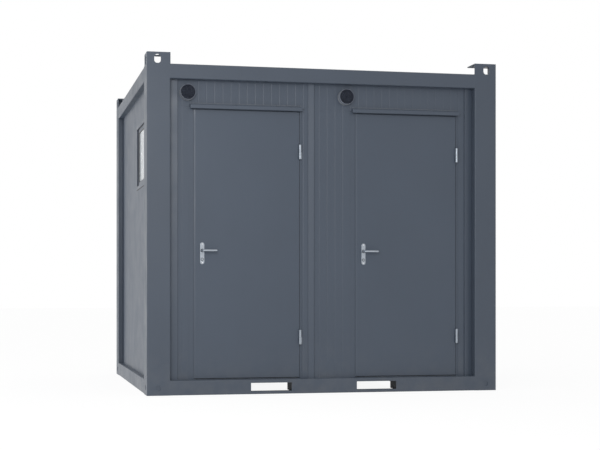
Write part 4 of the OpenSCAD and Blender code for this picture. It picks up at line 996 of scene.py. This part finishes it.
def mirror_clips(side, wall, out):
    """Four screwed clips, two at the mirror's foot and two at its head."""
    low, high = box_of("mirrors")
    corner_in, half_w, grip, tail = 90, 9, 9, 7
    x0, x1 = sorted((wall + out * 0.2, wall + out * 7.5))
    clips = Shape()
    for y in (low.y + corner_in, high.y - corner_in):
        for z, way in ((low.z, 1), (high.z, -1)):
            z0, z1 = sorted((z - way * tail, z + way * grip))
            clips.slab((x0, y - half_w, z0), (x1, y + half_w, z1), 1.2)
            screw(clips, (x1 if out > 0 else x0, y, z - way * 3.2), (out, 0, 0), 2.6, 1.0)
    piece(f"mirror_clips_{side}", clips, chrome)


def light_rim(side, x):
    """Ring round the ceiling light, with three catches."""
    ring_r, steps = 141, 64
    circle = [(x + ring_r * math.cos(a), ring_r * math.sin(a), CEILING_Z - 5) for a in turns(steps)]
    rim = Shape().tube(circle, [3.2] * steps, sides=10, closed=True)
    for turn in turns(3):
        a = turn + 0.4
        spot = (x + ring_r * math.cos(a), ring_r * math.sin(a), CEILING_Z - 13)
        rim.lathe(spot, (math.cos(a), math.sin(a), 0), [(5, -3), (5, 3), (4, 4.5)], 16)
    piece(f"light_rim_{side}", rim, chrome)


def holder_screws():
    """Screws in the roses of both paper holders."""
    screws = Shape()
    for sign in (-1, 1):
        for dz in (-16, 16):
            spot = (sign * (ROOM.x - 6), ROOM.y - HOLDER_V, HOLDER_Z + dz)
            screw(screws, spot, (-sign, 0, 0), 3.2, 1.2)
    piece("holder_screws", screws, chrome)


FIRST_SEALANT_SEED = 31
for i, side in enumerate(SIDES):
    x = CABIN_X[side]
    out = -1 if side == "left" else 1
    wall = DIVIDER_X + out * PARTITION_HALF
    skirting(side)
    for make in (pan_bolts, pan_water, supply_nuts, pipe_roses):
        make(side, x)
    basin_trim(side, wall, out, FIRST_SEALANT_SEED + i)
    mirror_clips(side, wall, out)
    light_rim(side, x)
holder_screws()


# Camera: level and turned to the right, with the photograph's framing

camera_data = bpy.data.cameras.new("camera")
camera = bpy.data.objects.new("camera", camera_data)
bpy.context.scene.collection.objects.link(camera)
bpy.context.scene.camera = camera
camera.location = (-2.6395, -10.1795, 0.864)
camera.rotation_euler = (math.radians(90), 0, math.radians(-10.19))
camera_data.lens = 67.4
camera_data.sensor_width = 36.0
camera_data.shift_x = 0.16
camera_data.shift_y = 0.1058


# Light: even sky light, a soft lamp in front on the left and a soft fill on the left side

SKY_LIGHT = 0.52
SEEN_WHITE = 1.0
FLOOR_WHITE = 1.06
FLOOR_SHARE = 0.86


def area_lamp(name, place, target, size, power):
    data = bpy.data.lights.new(name, "AREA")
    data.shape = "RECTANGLE"
    data.size, data.size_y = size
    data.energy = power
    lamp = bpy.data.objects.new(name, data)
    lamp.location = place
    lamp.rotation_euler = (Vector(target) - Vector(place)).to_track_quat("-Z", "Y").to_euler()
    bpy.context.scene.collection.objects.link(lamp)


def seen_rays(tree):
    """1 for rays from the camera, reflections and glass, 0 for the light that falls on the object."""
    path = tree.nodes.new("ShaderNodeLightPath")
    seen = math_node(tree, "MAXIMUM", path.outputs["Is Camera Ray"], path.outputs["Is Glossy Ray"])
    return math_node(tree, "MAXIMUM", seen, path.outputs["Is Transmission Ray"])


def white_shader(tree, kind, strength):
    """Background or emission shader in white."""
    node = tree.nodes.new(kind)
    node.inputs["Color"].default_value = WHITE
    node.inputs["Strength"].default_value = strength
    return node.outputs[0]


def mix_shaders(tree, factor, a, b):
    node = tree.nodes.new("ShaderNodeMixShader")
    link(tree, factor, node.inputs["Fac"])
    link(tree, a, node.inputs[1])
    link(tree, b, node.inputs[2])
    return node.outputs["Shader"]


def white_studio():
    """World that lights the object softly and is plain white where it is seen."""
    world = bpy.data.worlds.new("studio")
    bpy.context.scene.world = world
    world.use_nodes = True
    tree = world.node_tree
    tree.nodes.clear()
    sky = white_shader(tree, "ShaderNodeBackground", SKY_LIGHT)
    backdrop = white_shader(tree, "ShaderNodeBackground", SEEN_WHITE)
    out = tree.nodes.new("ShaderNodeOutputWorld")
    link(tree, mix_shaders(tree, seen_rays(tree), sky, backdrop), out.inputs["Surface"])


def pale_floor():
    """Floor that shows nearly white in the view and in reflections, and keeps the object's shadow."""
    material, tree, shader = new_material("floor_pale")
    link(tree, mix_colour(tree, noise(tree, 3.0, 4.0), *FLOOR_TINTS), shader.inputs["Base Color"])
    shader.inputs["Roughness"].default_value = 0.9
    glow = white_shader(tree, "ShaderNodeEmission", FLOOR_WHITE)
    share = math_node(tree, "MULTIPLY", seen_rays(tree), FLOOR_SHARE)
    out = tree.nodes["Material Output"]
    link(tree, mix_shaders(tree, share, shader.outputs["BSDF"], glow), out.inputs["Surface"])

    mesh = bpy.data.meshes.new("floor")
    grid = bmesh.new()
    bmesh.ops.create_grid(grid, x_segments=8, y_segments=8, size=40.0)
    grid.to_mesh(mesh)
    grid.free()
    mesh.materials.append(material)
    floor = bpy.data.objects.new("floor", mesh)
    floor.location = (0, 0, -0.0005)
    bpy.context.scene.collection.objects.link(floor)


area_lamp("key", (-2.6, -6.0, 2.8), (-0.6, -1.2, 1.3), (2.2, 2.2), 80.0)
area_lamp("fill", (-7.2, 1.7, 1.0), (-1.45, 0.0, 0.45), (2.6, 1.8), 100.0)
white_studio()
pale_floor()
bpy.context.scene.view_settings.view_transform = "Standard"
